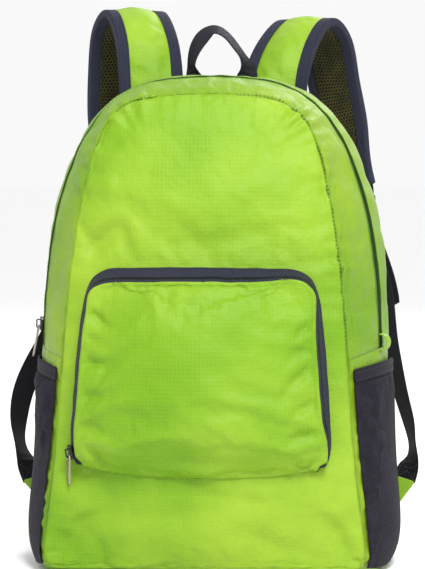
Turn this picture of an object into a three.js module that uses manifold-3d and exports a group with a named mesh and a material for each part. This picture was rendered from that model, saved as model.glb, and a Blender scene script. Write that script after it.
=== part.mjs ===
// A light packable daypack in ripstop nylon: a sewn bag with a wrap-over zip, a puffed front pocket on a
// wide zip, two mesh side pockets, two padded shoulder straps on webbing, and a grab loop.
// Millimetres, +Z up, the front faces -Y, and the origin is the centre of the base on the floor.
import * as THREE from "three";
import { mergeVertices } from "three/addons/utils/BufferGeometryUtils.js";
import Module from "manifold-3d";

const wasm = await Module();
wasm.setup();

// Body: three outlines, the front seam, the crest of the gusset and the back seam
const FRONT_WIDTH = 276;
const FRONT_HEIGHT = 413;
const CREST_WIDTH = 326;
const CREST_HEIGHT = 431;
const BACK_WIDTH = 304;
const BACK_HEIGHT = 424;
const BASE_DEPTH = 146;
const FRONT_SKEW = -2.5; // the front seam sits this far to one side of the back seam
const FRONT_LEAN = 30; // how far the front seam leans back by its top
const FRONT_LEAN_RANGE = [0.1, 1.15]; // shares of the height over which it leans
const BACK_LEAN = 12; // how far the back seam leans forward by its top
const BACK_LEAN_RANGE = [0.2, 1.1];
const FOOT_RISE = 7; // the base's front and back edges curl up by this much
const FOOT_FLAT = 0.66; // share of the base's depth that lies flat on the floor
const FOOT_ROUND = 0.06; // share of the height over which that curl dies away
const FRONT_BULGE = 19;
const BULGE_EDGE = 0.75; // power that rounds the bulge off towards the side seams
const BULGE_ENDS = 0.6; // power that rounds it off towards the foot and the top
const BULGE_BELLY = 0.85; // power of the height that sets how low the bulge is deepest
const DENT_FADE = 2.5; // how fast the dents die away at the seams
const BACK_BULGE = 5;
const CLOTH = 1.2;
const SEAM_GAP = 0.3;

// Each outline from its foot corner up to its top corner. height is a share of that outline's height,
// and the other columns are shares of that outline's half width.
const OUTLINE = [
  { height: 0, front: 0.93, crest: 0.9, back: 0.88 },
  { height: 0.015, front: 0.985, crest: 0.95, back: 0.95 },
  { height: 0.06, front: 1, crest: 0.99, back: 1 },
  { height: 0.16, front: 0.965, crest: 0.985, back: 1 },
  { height: 0.3, front: 0.92, crest: 0.947, back: 0.97 },
  { height: 0.45, front: 0.888, crest: 0.93, back: 0.95 },
  { height: 0.6, front: 0.858, crest: 0.917, back: 0.93 },
  { height: 0.74, front: 0.8, crest: 0.857, back: 0.875 },
  { height: 0.86, front: 0.725, crest: 0.736, back: 0.765 },
  { height: 0.935, front: 0.645, crest: 0.59, back: 0.625 },
  { height: 0.972, front: 0.54, crest: 0.445, back: 0.485 },
  { height: 0.99, front: 0.42, crest: 0.31, back: 0.35 },
];
const ZIP_END_ROW = 5; // the outline row where the main zip stops on each side
const STEPS_PER_ROW = 2;
const ACROSS_STEPS = 12;

// Columns of the gusset, as shares of its depth: the front band, the zip and the rear band
const ZIP_FRONT = 0.35;
const ZIP_BACK = 0.396;
const DEPTH_COLUMNS = [0, 0.12, 0.24, ZIP_FRONT, ZIP_BACK, 0.6, 0.8, 1];
const ZIP_SINK = 1.4; // how far the coil lies below the folded edges of the cloth

// Soft dents of the front panel. x is a share of the half width, z of the height, wide and tall are the
// dent's half sizes as shares of the width and height, and deep is a share of FRONT_BULGE.
const FRONT_DENTS = [
  { x: -0.8, z: 0.7, wide: 0.075, tall: 0.16, deep: 0.29 },
  { x: 0.84, z: 0.78, wide: 0.05, tall: 0.1, deep: 0.18 },
  { x: 0.05, z: 0.69, wide: 0.3, tall: 0.04, deep: 0.12 },
  { x: 0, z: 0.175, wide: 0.38, tall: 0.03, deep: 0.21 },
  { x: -0.74, z: 0.06, wide: 0.09, tall: 0.05, deep: 0.26 },
  { x: 0.8, z: 0.07, wide: 0.08, tall: 0.05, deep: 0.26 },
  { x: 0.12, z: 0.1, wide: 0.05, tall: 0.06, deep: 0.13 },
];

// Slack folds of the gusset: row is a place along OUTLINE, depth a share of the gusset's depth, and
// deep a share of BASE_DEPTH
const GUSSET_FOLDS = [
  { row: 6.3, depth: 0.2, rows: 0.5, spread: 0.13, deep: 0.027 },
  { row: 7.4, depth: 0.24, rows: 0.35, spread: 0.12, deep: 0.021 },
  { row: 8.6, depth: 0.2, rows: 0.35, spread: 0.14, deep: 0.024 },
  { row: 3.2, depth: 0.55, rows: 0.5, spread: 0.2, deep: 0.021 },
];

// Front pocket: its wall is the zip tape, and its panel bulges beyond that wall
const POCKET_WIDTH = 223;
const POCKET_SHIFT = -4.5; // its middle from the bag's middle
const POCKET_FOOT = 88; // height of the seam under the pocket
const POCKET_HEIGHT = 177;
const POCKET_DEPTH = 23;
const POCKET_BULGE = 11;
const POCKET_SAG = 3; // how far the belly hangs below its seam
const POCKET_SEAT = 0.35; // clearance between the front panel and what is sewn on it
const WALL_RISE = 0.28; // share of the height over which the wall grows from nothing at its foot
const PANEL_RISE = [-0.02, 0.2]; // the same for the panel, as shares of its height
const PUFF_SIDES = 0.7; // power that rounds the bulge off towards the sides
const PUFF_ENDS = 0.8; // power that rounds it off towards the foot and the top
const PUFF_FOOT = 0.1; // share of the bulge's arch that is cut off by the foot
const BELLY_ROUND = 0.5; // power that rounds the sag off towards the sides
const TAPE_SIDE_INSET = 6;
const TAPE_TOP_INSET = 11;
const TAPE_CORNER = 0.4; // share of the side inset that is left round the top corners
const TAPE_SPLIT = 0.55; // where the coil lies across the tape
const POCKET_STEPS = 13;
const POCKET_OUTLINE = [
  { height: 0.05, half: 0.95 },
  { height: 0.12, half: 1 },
  { height: 0.3, half: 0.985 },
  { height: 0.5, half: 0.966 },
  { height: 0.72, half: 0.932 },
  { height: 0.86, half: 0.9 },
  { height: 0.935, half: 0.855 },
  { height: 0.978, half: 0.775 },
  { height: 0.994, half: 0.67 },
];

// Side pockets of mesh, over the lower gusset
const MESH_THICK = 1;
const MESH_BULGE = 2.2;
const MESH_GAP = 0.8;
const MESH_EDGE = 0.03; // share of the depth left bare at the front and back seams
const MESH_ROWS = 8;
const MESH_COLUMNS = 6;
const MESH_FOOT_ROW = 1;
const MESH_TOP_ROW = 4.86; // at the front edge
const MESH_TOP_RISE = -0.08; // rows by which the top edge climbs towards the back
const HEM_HEIGHT = 9;
const HEM_THICK = 1.6;

// Shoulder straps
const STRAP_WIDTH = 58;
const STRAP_TAIL_WIDTH = 30;
const STRAP_TAPER = 0.2; // share of the length over which the strap narrows
const PAD_EDGE = 4; // thickness of the padding at its bound edges
const PAD_SWELL = 3.5; // how much thicker it is in the middle
const SWELL_FADE = 0.1; // share of the length over which the swell dies away at each end
const LINING_THICK = 1.2;
const BINDING_COVER = 10.5;
const BINDING_THICK = 1;
const STRAP_GAP = 0.6; // clearance between the strap's layers
const STRAP_SEAT = 0.4; // clearance between the strap and the back panel
const STRAP_STEPS = 24;
const STRAP_COLUMNS = [-1, -0.4, 0.4, 1];
const STRAP_REACH = 107; // how far the straps arch out behind the back panel
// The middle of each strap from its seam down to its end. x is a share of the back's half width, z of its
// height, back of STRAP_REACH, and turn is how far its face looks round to the other strap, in degrees.
const STRAP_ROUTE = {
  right: [
    { x: 0.322, back: 0, z: 0.934, turn: 0 },
    { x: 0.329, back: 0.035, z: 1.009, turn: 6 },
    { x: 0.395, back: 0.185, z: 1.087, turn: 20 },
    { x: 0.5, back: 0.48, z: 1.139, turn: 30 },
    { x: 0.599, back: 0.77, z: 1.101, turn: 34 },
    { x: 0.651, back: 0.93, z: 1.005, turn: 36 },
    { x: 0.728, back: 0.92, z: 0.882, turn: 38 },
    { x: 0.83, back: 0.825, z: 0.776, turn: 38 },
  ],
  left: [
    { x: 0.402, back: 0, z: 0.934, turn: 0 },
    { x: 0.414, back: 0.05, z: 1.009, turn: 6 },
    { x: 0.451, back: 0.19, z: 1.094, turn: 20 },
    { x: 0.546, back: 0.47, z: 1.158, turn: 30 },
    { x: 0.658, back: 0.77, z: 1.125, turn: 34 },
    { x: 0.704, back: 0.94, z: 1.024, turn: 36 },
    { x: 0.717, back: 0.93, z: 0.892, turn: 38 },
    { x: 0.75, back: 0.83, z: 0.776, turn: 38 },
  ],
};

// Webbing, its ladder locks and the cloth tabs at the foot corners
const WEBBING_WIDTH = 20;
const WEBBING_THICK = 1.4;
const WEBBING_STEPS = 22;
const LOCK_WIDTH = 28;
const LOCK_BAR = 4;
const LOCK_SLOT = 3.2;
const LOCK_THICK = 3.4;
const LOCK_SIDE = 3;
const LOCK_CHAMFER = 3;
const LOCK_DROP = 4; // from the strap's end down to the lock
const LOCK_TILT = { right: 20, left: 4 }; // how far the lock leans outward off the strap's line, degrees
const TAIL_SHARE = 0.24; // the loose tail's length as a share of the hanging webbing
// The hanging route of each side's webbing from its lock down to its tab, in the straps' shares, with
// back measured from the tab
const WEBBING_ROUTE = {
  right: [
    { x: 0.968, back: 0.421, z: 0.561, turn: 40 },
    { x: 1, back: 0.243, z: 0.462, turn: 42 },
    { x: 1.039, back: 0.159, z: 0.396, turn: 46 },
    { x: 1.079, back: 0.121, z: 0.333, turn: 50 },
    { x: 1.125, back: 0.093, z: 0.276, turn: 58 },
    { x: 1.145, back: 0.065, z: 0.233, turn: 74 },
    { x: 1.145, back: 0.028, z: 0.203, turn: 60 },
    { x: 1.118, back: 0.004, z: 0.177, turn: 10 },
    { x: 1.099, back: 0, z: 0.153, turn: 0 },
  ],
  left: [
    { x: 0.967, back: 0.421, z: 0.561, turn: 34 },
    { x: 1.046, back: 0.252, z: 0.462, turn: 18 },
    { x: 1.145, back: 0.168, z: 0.396, turn: 12 },
    { x: 1.217, back: 0.121, z: 0.333, turn: 26 },
    { x: 1.24, back: 0.093, z: 0.271, turn: 50 },
    { x: 1.23, back: 0.065, z: 0.229, turn: 74 },
    { x: 1.201, back: 0.028, z: 0.198, turn: 60 },
    { x: 1.164, back: 0.004, z: 0.17, turn: 10 },
    { x: 1.138, back: 0, z: 0.146, turn: 0 },
  ],
};
const TAB_HEIGHT = 40;
const TAB_THICK = 1.8;
const TAB_BACK = 0.9; // how far behind the back seam the tab lies
const TAB_GAP = 0.6;
const TAB_LAP = 6; // how far the webbing's end laps over the tab
const TAB_CUT = 0.65; // share of the webbing's half width by which the tab's outer corner is cut lower

// Grab loop
const LOOP_WIDTH = 20;
const LOOP_HALF = 26; // half of the loop's span, between the middles of its legs
const LOOP_RISE = 50; // how high its crown stands over the back seam
const LOOP_STAND = 3.6; // how far behind the back seam it stands
const LOOP_STEPS = 26;
// From its left end over to its right end. x is a share of LOOP_HALF, z of LOOP_RISE over the back's top,
// back of LOOP_STAND, and lean is how far its width turns up from front to back, in degrees.
const LOOP_ROUTE = [
  { x: -0.731, back: 0.83, z: -0.48, lean: 90 },
  { x: -0.808, back: 0.89, z: -0.06, lean: 86 },
  { x: -1, back: 1, z: 0.28, lean: 26 },
  { x: -0.904, back: 1, z: 0.58, lean: 34 },
  { x: -0.615, back: 1, z: 0.84, lean: 44 },
  { x: -0.192, back: 1, z: 0.99, lean: 26 },
  { x: 0.231, back: 1, z: 0.88, lean: 15 },
  { x: 0.577, back: 1, z: 0.66, lean: 14 },
  { x: 0.846, back: 1, z: 0.46, lean: 14 },
  { x: 1, back: 1, z: 0.24, lean: 48 },
  { x: 0.846, back: 0.89, z: -0.06, lean: 86 },
  { x: 0.769, back: 0.83, z: -0.48, lean: 90 },
];

// Zip hardware
const SLIDER_LENGTH = 12;
const SLIDER_WIDTH = 8;
const SLIDER_THICK = 3;
const BRIDGE_LENGTH = 8;
const BRIDGE_WIDTH = 2.4;
const BRIDGE_RISE = 2.6; // clear height under the bridge
const BRIDGE_THICK = 1;
const PULL_LENGTH = 28;
const PULL_LIFT = 0.9; // clearance between the slider and the pull
const PULL_SWING = 9; // how far the pull hangs off the cloth, in degrees
const PULL_WIDTH = 7;
const PULL_THICK = 1.2;
const PULL_EYE = 4; // width of the eye that runs over the bridge
const PULL_CHAMFER = 1.5;
const ZIP_SEAT = 0.6; // clearance under the sliders
const POCKET_SLIDER_PLACE = 0.12; // share of the way up the pocket's left side
const MAIN_SLIDER_ROW = 5.3; // place along OUTLINE, on the left side
const END_LOOP_WIDTH = 10;
const END_LOOP_REACH = 7;
const END_LOOP_LENGTH = 14;
const END_LOOP_ROW = 5.08;
const END_LOOP_THICK = 1.2;
const END_LOOP_SEAT = 0.1; // clearance between its ends and the cloth beside the zip

const lime = () => new THREE.MeshStandardMaterial({ color: 0x9ad22f, roughness: 0.5 });
const slate = () => new THREE.MeshStandardMaterial({ color: 0x3a3c4d, roughness: 0.7 });
const black = () => new THREE.MeshStandardMaterial({ color: 0x16151a, roughness: 0.6 });
const olive = () => new THREE.MeshStandardMaterial({ color: 0x3a3a20, roughness: 0.9 });
const metal = () =>
  new THREE.MeshStandardMaterial({ color: 0x55524a, roughness: 0.35, metalness: 0.9 });

const backpack = new THREE.Group();
const radians = THREE.MathUtils.degToRad;
const lerp = THREE.MathUtils.lerp;
const smooth = THREE.MathUtils.smoothstep;
const clamp = THREE.MathUtils.clamp;

function addPiece(name, geometry, material) {
  const mesh = new THREE.Mesh(geometry, material);
  mesh.name = name;
  backpack.add(mesh);
  return mesh;
}

// A column of a table read at a place between its rows, on a smooth curve through them
function column(table, key, place) {
  const curve = new THREE.SplineCurve(table.map((row, i) => new THREE.Vector2(i, row[key])));
  return curve.getPoint(place / (table.length - 1)).y;
}

function hump(value, centre, spread) {
  return Math.exp(-(((value - centre) / spread) ** 2));
}

// The body's skin

const LAST_ROW = OUTLINE.length - 1;

// y of the front and back seams at a height share
const frontSeamY = (height) => -BASE_DEPTH / 2 + FRONT_LEAN * smooth(height, ...FRONT_LEAN_RANGE);
const backSeamY = (height) => BASE_DEPTH / 2 - BACK_LEAN * smooth(height, ...BACK_LEAN_RANGE);

// Blends the three outlines across the depth: 0 at the front seam, 1 at the back seam
function acrossDepth(front, crest, back, depth) {
  const bow = 2 * crest - (front + back) / 2;
  return (1 - depth) ** 2 * front + 2 * depth * (1 - depth) * bow + depth ** 2 * back;
}

function footRise(depth) {
  const past = Math.max(0, Math.abs(2 * depth - 1) - FOOT_FLAT) / (1 - FOOT_FLAT);
  return FOOT_RISE * past ** 2;
}

function slackAt(row, depth) {
  return GUSSET_FOLDS.reduce(
    (sum, fold) =>
      sum +
      fold.deep * BASE_DEPTH * hump(row, fold.row, fold.rows) * hump(depth, fold.depth, fold.spread),
    0,
  );
}

// A point of the gusset's side: side is -1 or 1, row a place along OUTLINE
function sidePoint(side, row, depth) {
  const height = column(OUTLINE, "height", row);
  const [front, crest, back] = ["front", "crest", "back"].map((key) => column(OUTLINE, key, row));
  const half = acrossDepth(
    (front * FRONT_WIDTH) / 2,
    (crest * CREST_WIDTH) / 2,
    (back * BACK_WIDTH) / 2,
    depth,
  );
  const z = acrossDepth(height * FRONT_HEIGHT, height * CREST_HEIGHT, height * BACK_HEIGHT, depth);
  const y = lerp(frontSeamY(height), backSeamY(height), depth);
  const lift = footRise(depth) * (1 - smooth(height, 0, FOOT_ROUND));
  const skew = FRONT_SKEW * (1 - depth) ** 2;
  return new THREE.Vector3(side * (half - slackAt(row, depth)) + skew, y, z + lift);
}

// A point of the gusset over the top, from the left corner at 0 to the right corner at 1
function topPoint(along, depth) {
  const left = sidePoint(-1, LAST_ROW, depth);
  const right = sidePoint(1, LAST_ROW, depth);
  const top = acrossDepth(FRONT_HEIGHT, CREST_HEIGHT, BACK_HEIGHT, depth);
  const point = left.lerp(right, along);
  const crown = 1 - (2 * along - 1) ** 2;
  point.z = lerp(point.z, top, crown);
  return point;
}

function basePoint(along, depth) {
  return sidePoint(-1, 0, depth).lerp(sidePoint(1, 0, depth), along);
}

// Half width of the front or back outline at a height
function outlineHalf(key, width, height, z) {
  let low = 0;
  let high = LAST_ROW;
  for (let i = 0; i < 24; i++) {
    const middle = (low + high) / 2;
    if (column(OUTLINE, "height", middle) * height < z) low = middle;
    else high = middle;
  }
  return (column(OUTLINE, key, low) * width) / 2;
}

function dentAt(x, z) {
  return FRONT_DENTS.reduce(
    (sum, dent) =>
      sum +
      dent.deep *
        FRONT_BULGE *
        hump(x, (dent.x * FRONT_WIDTH) / 2, dent.wide * FRONT_WIDTH) *
        hump(z, dent.z * FRONT_HEIGHT, dent.tall * FRONT_HEIGHT),
    0,
  );
}

// y of the front panel's outer face
function frontY(place, z) {
  const x = place - FRONT_SKEW;
  const half = outlineHalf("front", FRONT_WIDTH, FRONT_HEIGHT, z);
  const across = Math.min(1, Math.abs(x) / half);
  const up = clamp(z / FRONT_HEIGHT, 0, 1);
  const edge = (1 - across ** 2) ** BULGE_EDGE;
  const rise = Math.max(0, Math.sin(Math.PI * up ** BULGE_BELLY)) ** BULGE_ENDS;
  const seam = frontSeamY(up);
  const fade = Math.min(1, edge * rise * DENT_FADE);
  return seam - FRONT_BULGE * edge * rise + dentAt(x, z) * fade;
}

function backY(x, z) {
  const half = outlineHalf("back", BACK_WIDTH, BACK_HEIGHT, z);
  const across = Math.min(1, Math.abs(x) / half);
  const up = clamp(z / BACK_HEIGHT, 0, 1);
  return backSeamY(up) + BACK_BULGE * (1 - across ** 2) * Math.sin(Math.PI * up);
}

// Sheets: a grid of vertices is made once, so panels that meet share their seam

const vertexAt = (point) => ({ point, normal: new THREE.Vector3() });

function gridQuads(grid, flip = false) {
  const quads = [];
  for (let i = 0; i + 1 < grid.length; i++)
    for (let j = 0; j + 1 < grid[i].length; j++) {
      const quad = [grid[i][j], grid[i + 1][j], grid[i + 1][j + 1], grid[i][j + 1]];
      quads.push(flip ? quad.reverse() : quad);
    }
  return quads;
}

function addNormals(quads) {
  for (const quad of quads) {
    const [a, b, c, d] = quad.map((vertex) => vertex.point);
    const normal = new THREE.Vector3()
      .subVectors(c, a)
      .cross(new THREE.Vector3().subVectors(d, b));
    quad.forEach((vertex) => vertex.normal.add(normal));
  }
}

// A closed sheet of cloth: outer faces on the vertices, inner faces one thickness further in
function sheetGeometry(quads, thickness, gap = SEAM_GAP) {
  const vertices = [...new Set(quads.flat())];
  const index = new Map(vertices.map((vertex, i) => [vertex, i]));
  const pull = vertices.map(() => new THREE.Vector3());
  const uses = new Map();
  const keyOf = (a, b) => `${Math.min(a, b)}_${Math.max(a, b)}`;
  for (const quad of quads) {
    quad.forEach((vertex, k) => {
      const a = index.get(vertex);
      const b = index.get(quad[(k + 1) % 4]);
      const key = keyOf(a, b);
      const inward = new THREE.Vector3()
        .addVectors(quad[(k + 2) % 4].point, quad[(k + 3) % 4].point)
        .sub(vertex.point)
        .sub(quad[(k + 1) % 4].point)
        .normalize();
      if (uses.has(key)) uses.delete(key);
      else uses.set(key, { a, b, inward });
    });
  }
  for (const { a, b, inward } of uses.values()) {
    pull[a].add(inward);
    pull[b].add(inward);
  }
  const corners = [];
  vertices.forEach((vertex, i) => {
    const normal = vertex.normal.clone().normalize();
    const shift = pull[i].lengthSq() > 0 ? pull[i].normalize().multiplyScalar(gap / 2) : pull[i];
    corners.push(vertex.point.clone().add(shift));
    corners.push(vertex.point.clone().add(shift).addScaledVector(normal, -thickness));
  });
  const faces = [];
  for (const quad of quads) {
    const [a, b, c, d] = quad.map((vertex) => 2 * index.get(vertex));
    faces.push(a, b, c, a, c, d, a + 1, c + 1, b + 1, a + 1, d + 1, c + 1);
  }
  for (const { a, b } of uses.values())
    faces.push(2 * a, 2 * a + 1, 2 * b + 1, 2 * a, 2 * b + 1, 2 * b);
  return geometryOf(corners, faces);
}

function geometryOf(corners, faces) {
  const geometry = new THREE.BufferGeometry().setFromPoints(corners);
  geometry.setIndex(faces);
  geometry.computeVertexNormals();
  return geometry;
}

// Body panels

const sideRows = LAST_ROW * STEPS_PER_ROW;
const zipRow = ZIP_END_ROW * STEPS_PER_ROW;

// The ring runs up the left side, over the top and down the right side, then back along the base.
// ring[s][k] is the vertex at place s round the outline and depth column k.
function makeRing() {
  const places = [];
  for (let i = 0; i <= sideRows; i++)
    places.push((depth) => sidePoint(-1, i / STEPS_PER_ROW, depth));
  for (let i = 1; i < ACROSS_STEPS; i++)
    places.push((depth) => topPoint(i / ACROSS_STEPS, depth));
  for (let i = sideRows; i >= 0; i--)
    places.push((depth) => sidePoint(1, i / STEPS_PER_ROW, depth));
  for (let i = ACROSS_STEPS - 1; i > 0; i--)
    places.push((depth) => basePoint(i / ACROSS_STEPS, depth));
  return places.map((place) => DEPTH_COLUMNS.map((depth) => vertexAt(place(depth))));
}

const ring = makeRing();
const ringAt = (s, k) => ring[(s + ring.length) % ring.length][k];

// A panel inside the ring's first or last column, its points spread between the four edges
function makePanel(k, yOf) {
  const left = (j) => ringAt(j, k);
  const right = (j) => ringAt(2 * sideRows + ACROSS_STEPS - j, k);
  const top = (i) => ringAt(sideRows + i, k);
  const base = (i) => ringAt(-i, k);
  const grid = [];
  for (let i = 0; i <= ACROSS_STEPS; i++) {
    grid.push([]);
    for (let j = 0; j <= sideRows; j++) {
      if (i === 0) grid[i].push(left(j));
      else if (i === ACROSS_STEPS) grid[i].push(right(j));
      else if (j === 0) grid[i].push(base(i));
      else if (j === sideRows) grid[i].push(top(i));
      else {
        const u = i / ACROSS_STEPS;
        const v = j / sideRows;
        const point = new THREE.Vector3()
          .addScaledVector(left(j).point, 1 - u)
          .addScaledVector(right(j).point, u)
          .addScaledVector(base(i).point, 1 - v)
          .addScaledVector(top(i).point, v)
          .addScaledVector(left(0).point, -(1 - u) * (1 - v))
          .addScaledVector(right(0).point, -u * (1 - v))
          .addScaledVector(left(sideRows).point, -(1 - u) * v)
          .addScaledVector(right(sideRows).point, -u * v);
        point.y = yOf(point.x, point.z);
        grid[i].push(vertexAt(point));
      }
    }
  }
  return grid;
}

function ringBand(from, to, kFrom, kTo) {
  const grid = [];
  for (let s = from; s <= to; s++)
    grid.push(Array.from({ length: kTo - kFrom + 1 }, (_, i) => ringAt(s, kFrom + i)));
  return gridQuads(grid);
}

const lastColumn = DEPTH_COLUMNS.length - 1;
const zipColumn = DEPTH_COLUMNS.indexOf(ZIP_FRONT);
const frontQuads = gridQuads(makePanel(0, frontY));
const backQuads = gridQuads(makePanel(lastColumn, backY), true);
const zipStart = zipRow;
const zipStop = 2 * sideRows + ACROSS_STEPS - zipRow;
const bandQuads = {
  front_gusset: ringBand(zipStart, zipStop, 0, zipColumn),
  main_zip: ringBand(zipStart, zipStop, zipColumn, zipColumn + 1),
  rear_gusset: ringBand(zipStart, zipStop, zipColumn + 1, lastColumn),
  lower_gusset: ringBand(zipStop, ring.length + zipStart, 0, lastColumn),
};
[frontQuads, backQuads, ...Object.values(bandQuads)].forEach(addNormals);

addPiece("front_panel", sheetGeometry(frontQuads, CLOTH), lime());
addPiece("back_panel", sheetGeometry(backQuads, CLOTH), lime());
for (const name of ["front_gusset", "rear_gusset", "lower_gusset"])
  addPiece(name, sheetGeometry(bandQuads[name], CLOTH), lime());

// The coil and its tapes lie sunk between the folded edges of the two gussets
function sunkenQuads(quads, sink) {
  const moved = new Map();
  const sunk = (vertex) => {
    if (!moved.has(vertex)) {
      const normal = vertex.normal.clone().normalize();
      const lower = vertexAt(vertex.point.clone().addScaledVector(normal, -sink));
      lower.normal.copy(normal);
      moved.set(vertex, lower);
    }
    return moved.get(vertex);
  };
  return quads.map((quad) => quad.map(sunk));
}
addPiece(
  "main_zip",
  sheetGeometry(sunkenQuads(bandQuads.main_zip, ZIP_SINK - CLOTH), CLOTH, 2 * SEAM_GAP),
  lime(),
);

// Mesh side pockets, each with a bound hem

function surfaceNormal(place, a, b) {
  const step = 0.02;
  const along = place(a + step, b).sub(place(a - step, b));
  const over = place(a, b + step).sub(place(a, b - step));
  return along.cross(over).normalize();
}

function meshPocket(side) {
  const place = (row, depth) => sidePoint(side, row, depth);
  const shell = (up, depth, lift) => {
    const top = MESH_TOP_ROW + MESH_TOP_RISE * depth;
    const row = lerp(MESH_FOOT_ROW, top, up);
    const normal = surfaceNormal(place, row, depth).multiplyScalar(side);
    if (normal.x * side < 0) normal.negate();
    const bow = MESH_BULGE * Math.sin(Math.PI * depth) * Math.sin((Math.PI / 2) * (0.25 + 0.75 * up));
    return place(row, depth).addScaledVector(normal, lift + bow);
  };
  const build = (upFrom, upTo, rows, lift) => {
    const grid = [];
    for (let i = 0; i <= rows; i++) {
      grid.push([]);
      for (let j = 0; j <= MESH_COLUMNS; j++) {
        const depth = lerp(MESH_EDGE, 1 - MESH_EDGE, j / MESH_COLUMNS);
        grid[i].push(vertexAt(shell(lerp(upFrom, upTo, i / rows), depth, lift)));
      }
    }
    const quads = gridQuads(grid, side > 0);
    addNormals(quads);
    return quads;
  };
  const topHeight = column(OUTLINE, "height", MESH_TOP_ROW) * CREST_HEIGHT;
  const hemShare = 1 - HEM_HEIGHT / topHeight;
  const word = side > 0 ? "right" : "left";
  addPiece(
    `side_pocket_${word}`,
    sheetGeometry(build(0, hemShare, MESH_ROWS, MESH_GAP + MESH_THICK), MESH_THICK),
    slate(),
  );
  addPiece(
    `side_pocket_hem_${word}`,
    sheetGeometry(build(hemShare, 1, 1, MESH_GAP + HEM_THICK), HEM_THICK),
    slate(),
  );
}
[-1, 1].forEach(meshPocket);

// Front pocket

const pocketRows = POCKET_OUTLINE.length - 1;

// The seam of the zip tape on the front panel, from its left foot over the top to its right foot.
// along runs from 0 to 3, a third for each side; inset moves it towards the pocket's middle.
function pocketSeam(along, inset) {
  const corner = column(POCKET_OUTLINE, "half", pocketRows) * (POCKET_WIDTH / 2);
  const cornerZ = column(POCKET_OUTLINE, "height", pocketRows) * POCKET_HEIGHT + POCKET_FOOT;
  const topZ = POCKET_FOOT + POCKET_HEIGHT;
  const topInset = (inset * TAPE_TOP_INSET) / TAPE_SIDE_INSET;
  if (along >= 1 && along <= 2) {
    const across = 2 * (along - 1) - 1;
    return {
      x: POCKET_SHIFT + across * (corner - inset * TAPE_CORNER),
      z: lerp(cornerZ, topZ, 1 - across ** 2) - topInset,
      up: 1,
    };
  }
  const side = along < 1 ? -1 : 1;
  const row = (along < 1 ? along : 3 - along) * pocketRows;
  const up = column(POCKET_OUTLINE, "height", row);
  const half = column(POCKET_OUTLINE, "half", row) * (POCKET_WIDTH / 2);
  const turned = smooth(up, 0.8, 1);
  return {
    x: POCKET_SHIFT + side * (half - inset * lerp(1, TAPE_CORNER, turned)),
    z: POCKET_FOOT + up * POCKET_HEIGHT - topInset * turned,
    up,
  };
}

function pocketEdge(along, share) {
  const { x, z, up } = pocketSeam(along, TAPE_SIDE_INSET * share);
  const rise = POCKET_DEPTH * share * smooth(up, 0, WALL_RISE);
  return new THREE.Vector3(x, frontY(x, z) - POCKET_SEAT - CLOTH * (1 + share) - rise, z);
}

function makePocket() {
  const steps = POCKET_STEPS;
  const edge = [];
  for (let s = 0; s <= 3 * steps; s++)
    edge.push([0, TAPE_SPLIT, 1].map((share) => vertexAt(pocketEdge(s / steps, share))));
  const footLeft = edge[0][2].point;
  const footRight = edge[3 * steps][2].point;
  const panel = [];
  for (let i = 0; i <= steps; i++) {
    panel.push([]);
    for (let j = 0; j <= steps; j++) {
      const u = i / steps;
      const v = j / steps;
      if (i === 0) panel[i].push(edge[j][2]);
      else if (i === steps) panel[i].push(edge[3 * steps - j][2]);
      else if (j === steps) panel[i].push(edge[steps + i][2]);
      else panel[i].push(vertexAt(pocketPanelPoint(u, v, edge, footLeft, footRight)));
    }
  }
  const panelQuads = gridQuads(panel);
  const tapeQuads = gridQuads(edge, true);
  addNormals(panelQuads);
  addNormals(tapeQuads);
  addPiece("front_pocket", sheetGeometry(panelQuads, CLOTH), lime());
  addPiece("pocket_zip", sheetGeometry(tapeQuads, CLOTH), slate());
}

// A point inside the pocket's panel, u across it and v up it
function pocketPanelPoint(u, v, edge, footLeft, footRight) {
  const steps = POCKET_STEPS;
  const left = edge[Math.round(v * steps)][2].point;
  const right = edge[3 * steps - Math.round(v * steps)][2].point;
  const top = edge[steps + Math.round(u * steps)][2].point;
  const topLeft = edge[steps][2].point;
  const topRight = edge[2 * steps][2].point;
  const between = (a, b, share) => new THREE.Vector3().lerpVectors(a, b, share);
  const corners = between(between(footLeft, footRight, u), between(topLeft, topRight, u), v);
  const flat = between(left, right, u)
    .add(between(between(footLeft, footRight, u), top, v))
    .sub(corners);
  const arch = Math.sin(Math.PI * u);
  const belly = arch ** BELLY_ROUND;
  const sag = POCKET_SAG * belly * hump(v, 0.1, 0.1);
  const footDrop = (footLeft.z - POCKET_FOOT) * belly * hump(v, 0, 0.12);
  const z = flat.z - sag - footDrop;
  const wall = POCKET_DEPTH * smooth(v, ...PANEL_RISE);
  const rise = Math.sin(Math.PI * Math.min(1, lerp(PUFF_FOOT, 1, v)));
  const puff = v > 0 ? POCKET_BULGE * arch ** PUFF_SIDES * rise ** PUFF_ENDS : 0;
  return new THREE.Vector3(flat.x, frontY(flat.x, z) - POCKET_SEAT - 2 * CLOTH - wall - puff, z);
}
makePocket();

// Ribbons: a section swept along a route whose stations say where its face looks

// route rows hold x, y, z; across(row place) gives the unit vector along the ribbon's width
function stationsOf(route, steps, acrossOf) {
  const curve = new THREE.CatmullRomCurve3(
    route.map((row) => new THREE.Vector3(row.x, row.y, row.z)),
    false,
    "centripetal",
  );
  const stations = [];
  for (let i = 0; i <= steps; i++) {
    const t = i / steps;
    const tangent = curve.getTangent(t);
    const across = acrossOf(t * (route.length - 1), tangent);
    const out = new THREE.Vector3().crossVectors(across, tangent).normalize();
    stations.push({
      t,
      point: curve.getPoint(t),
      across: new THREE.Vector3().crossVectors(tangent, out).normalize(),
      out,
    });
  }
  return stations;
}

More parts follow.
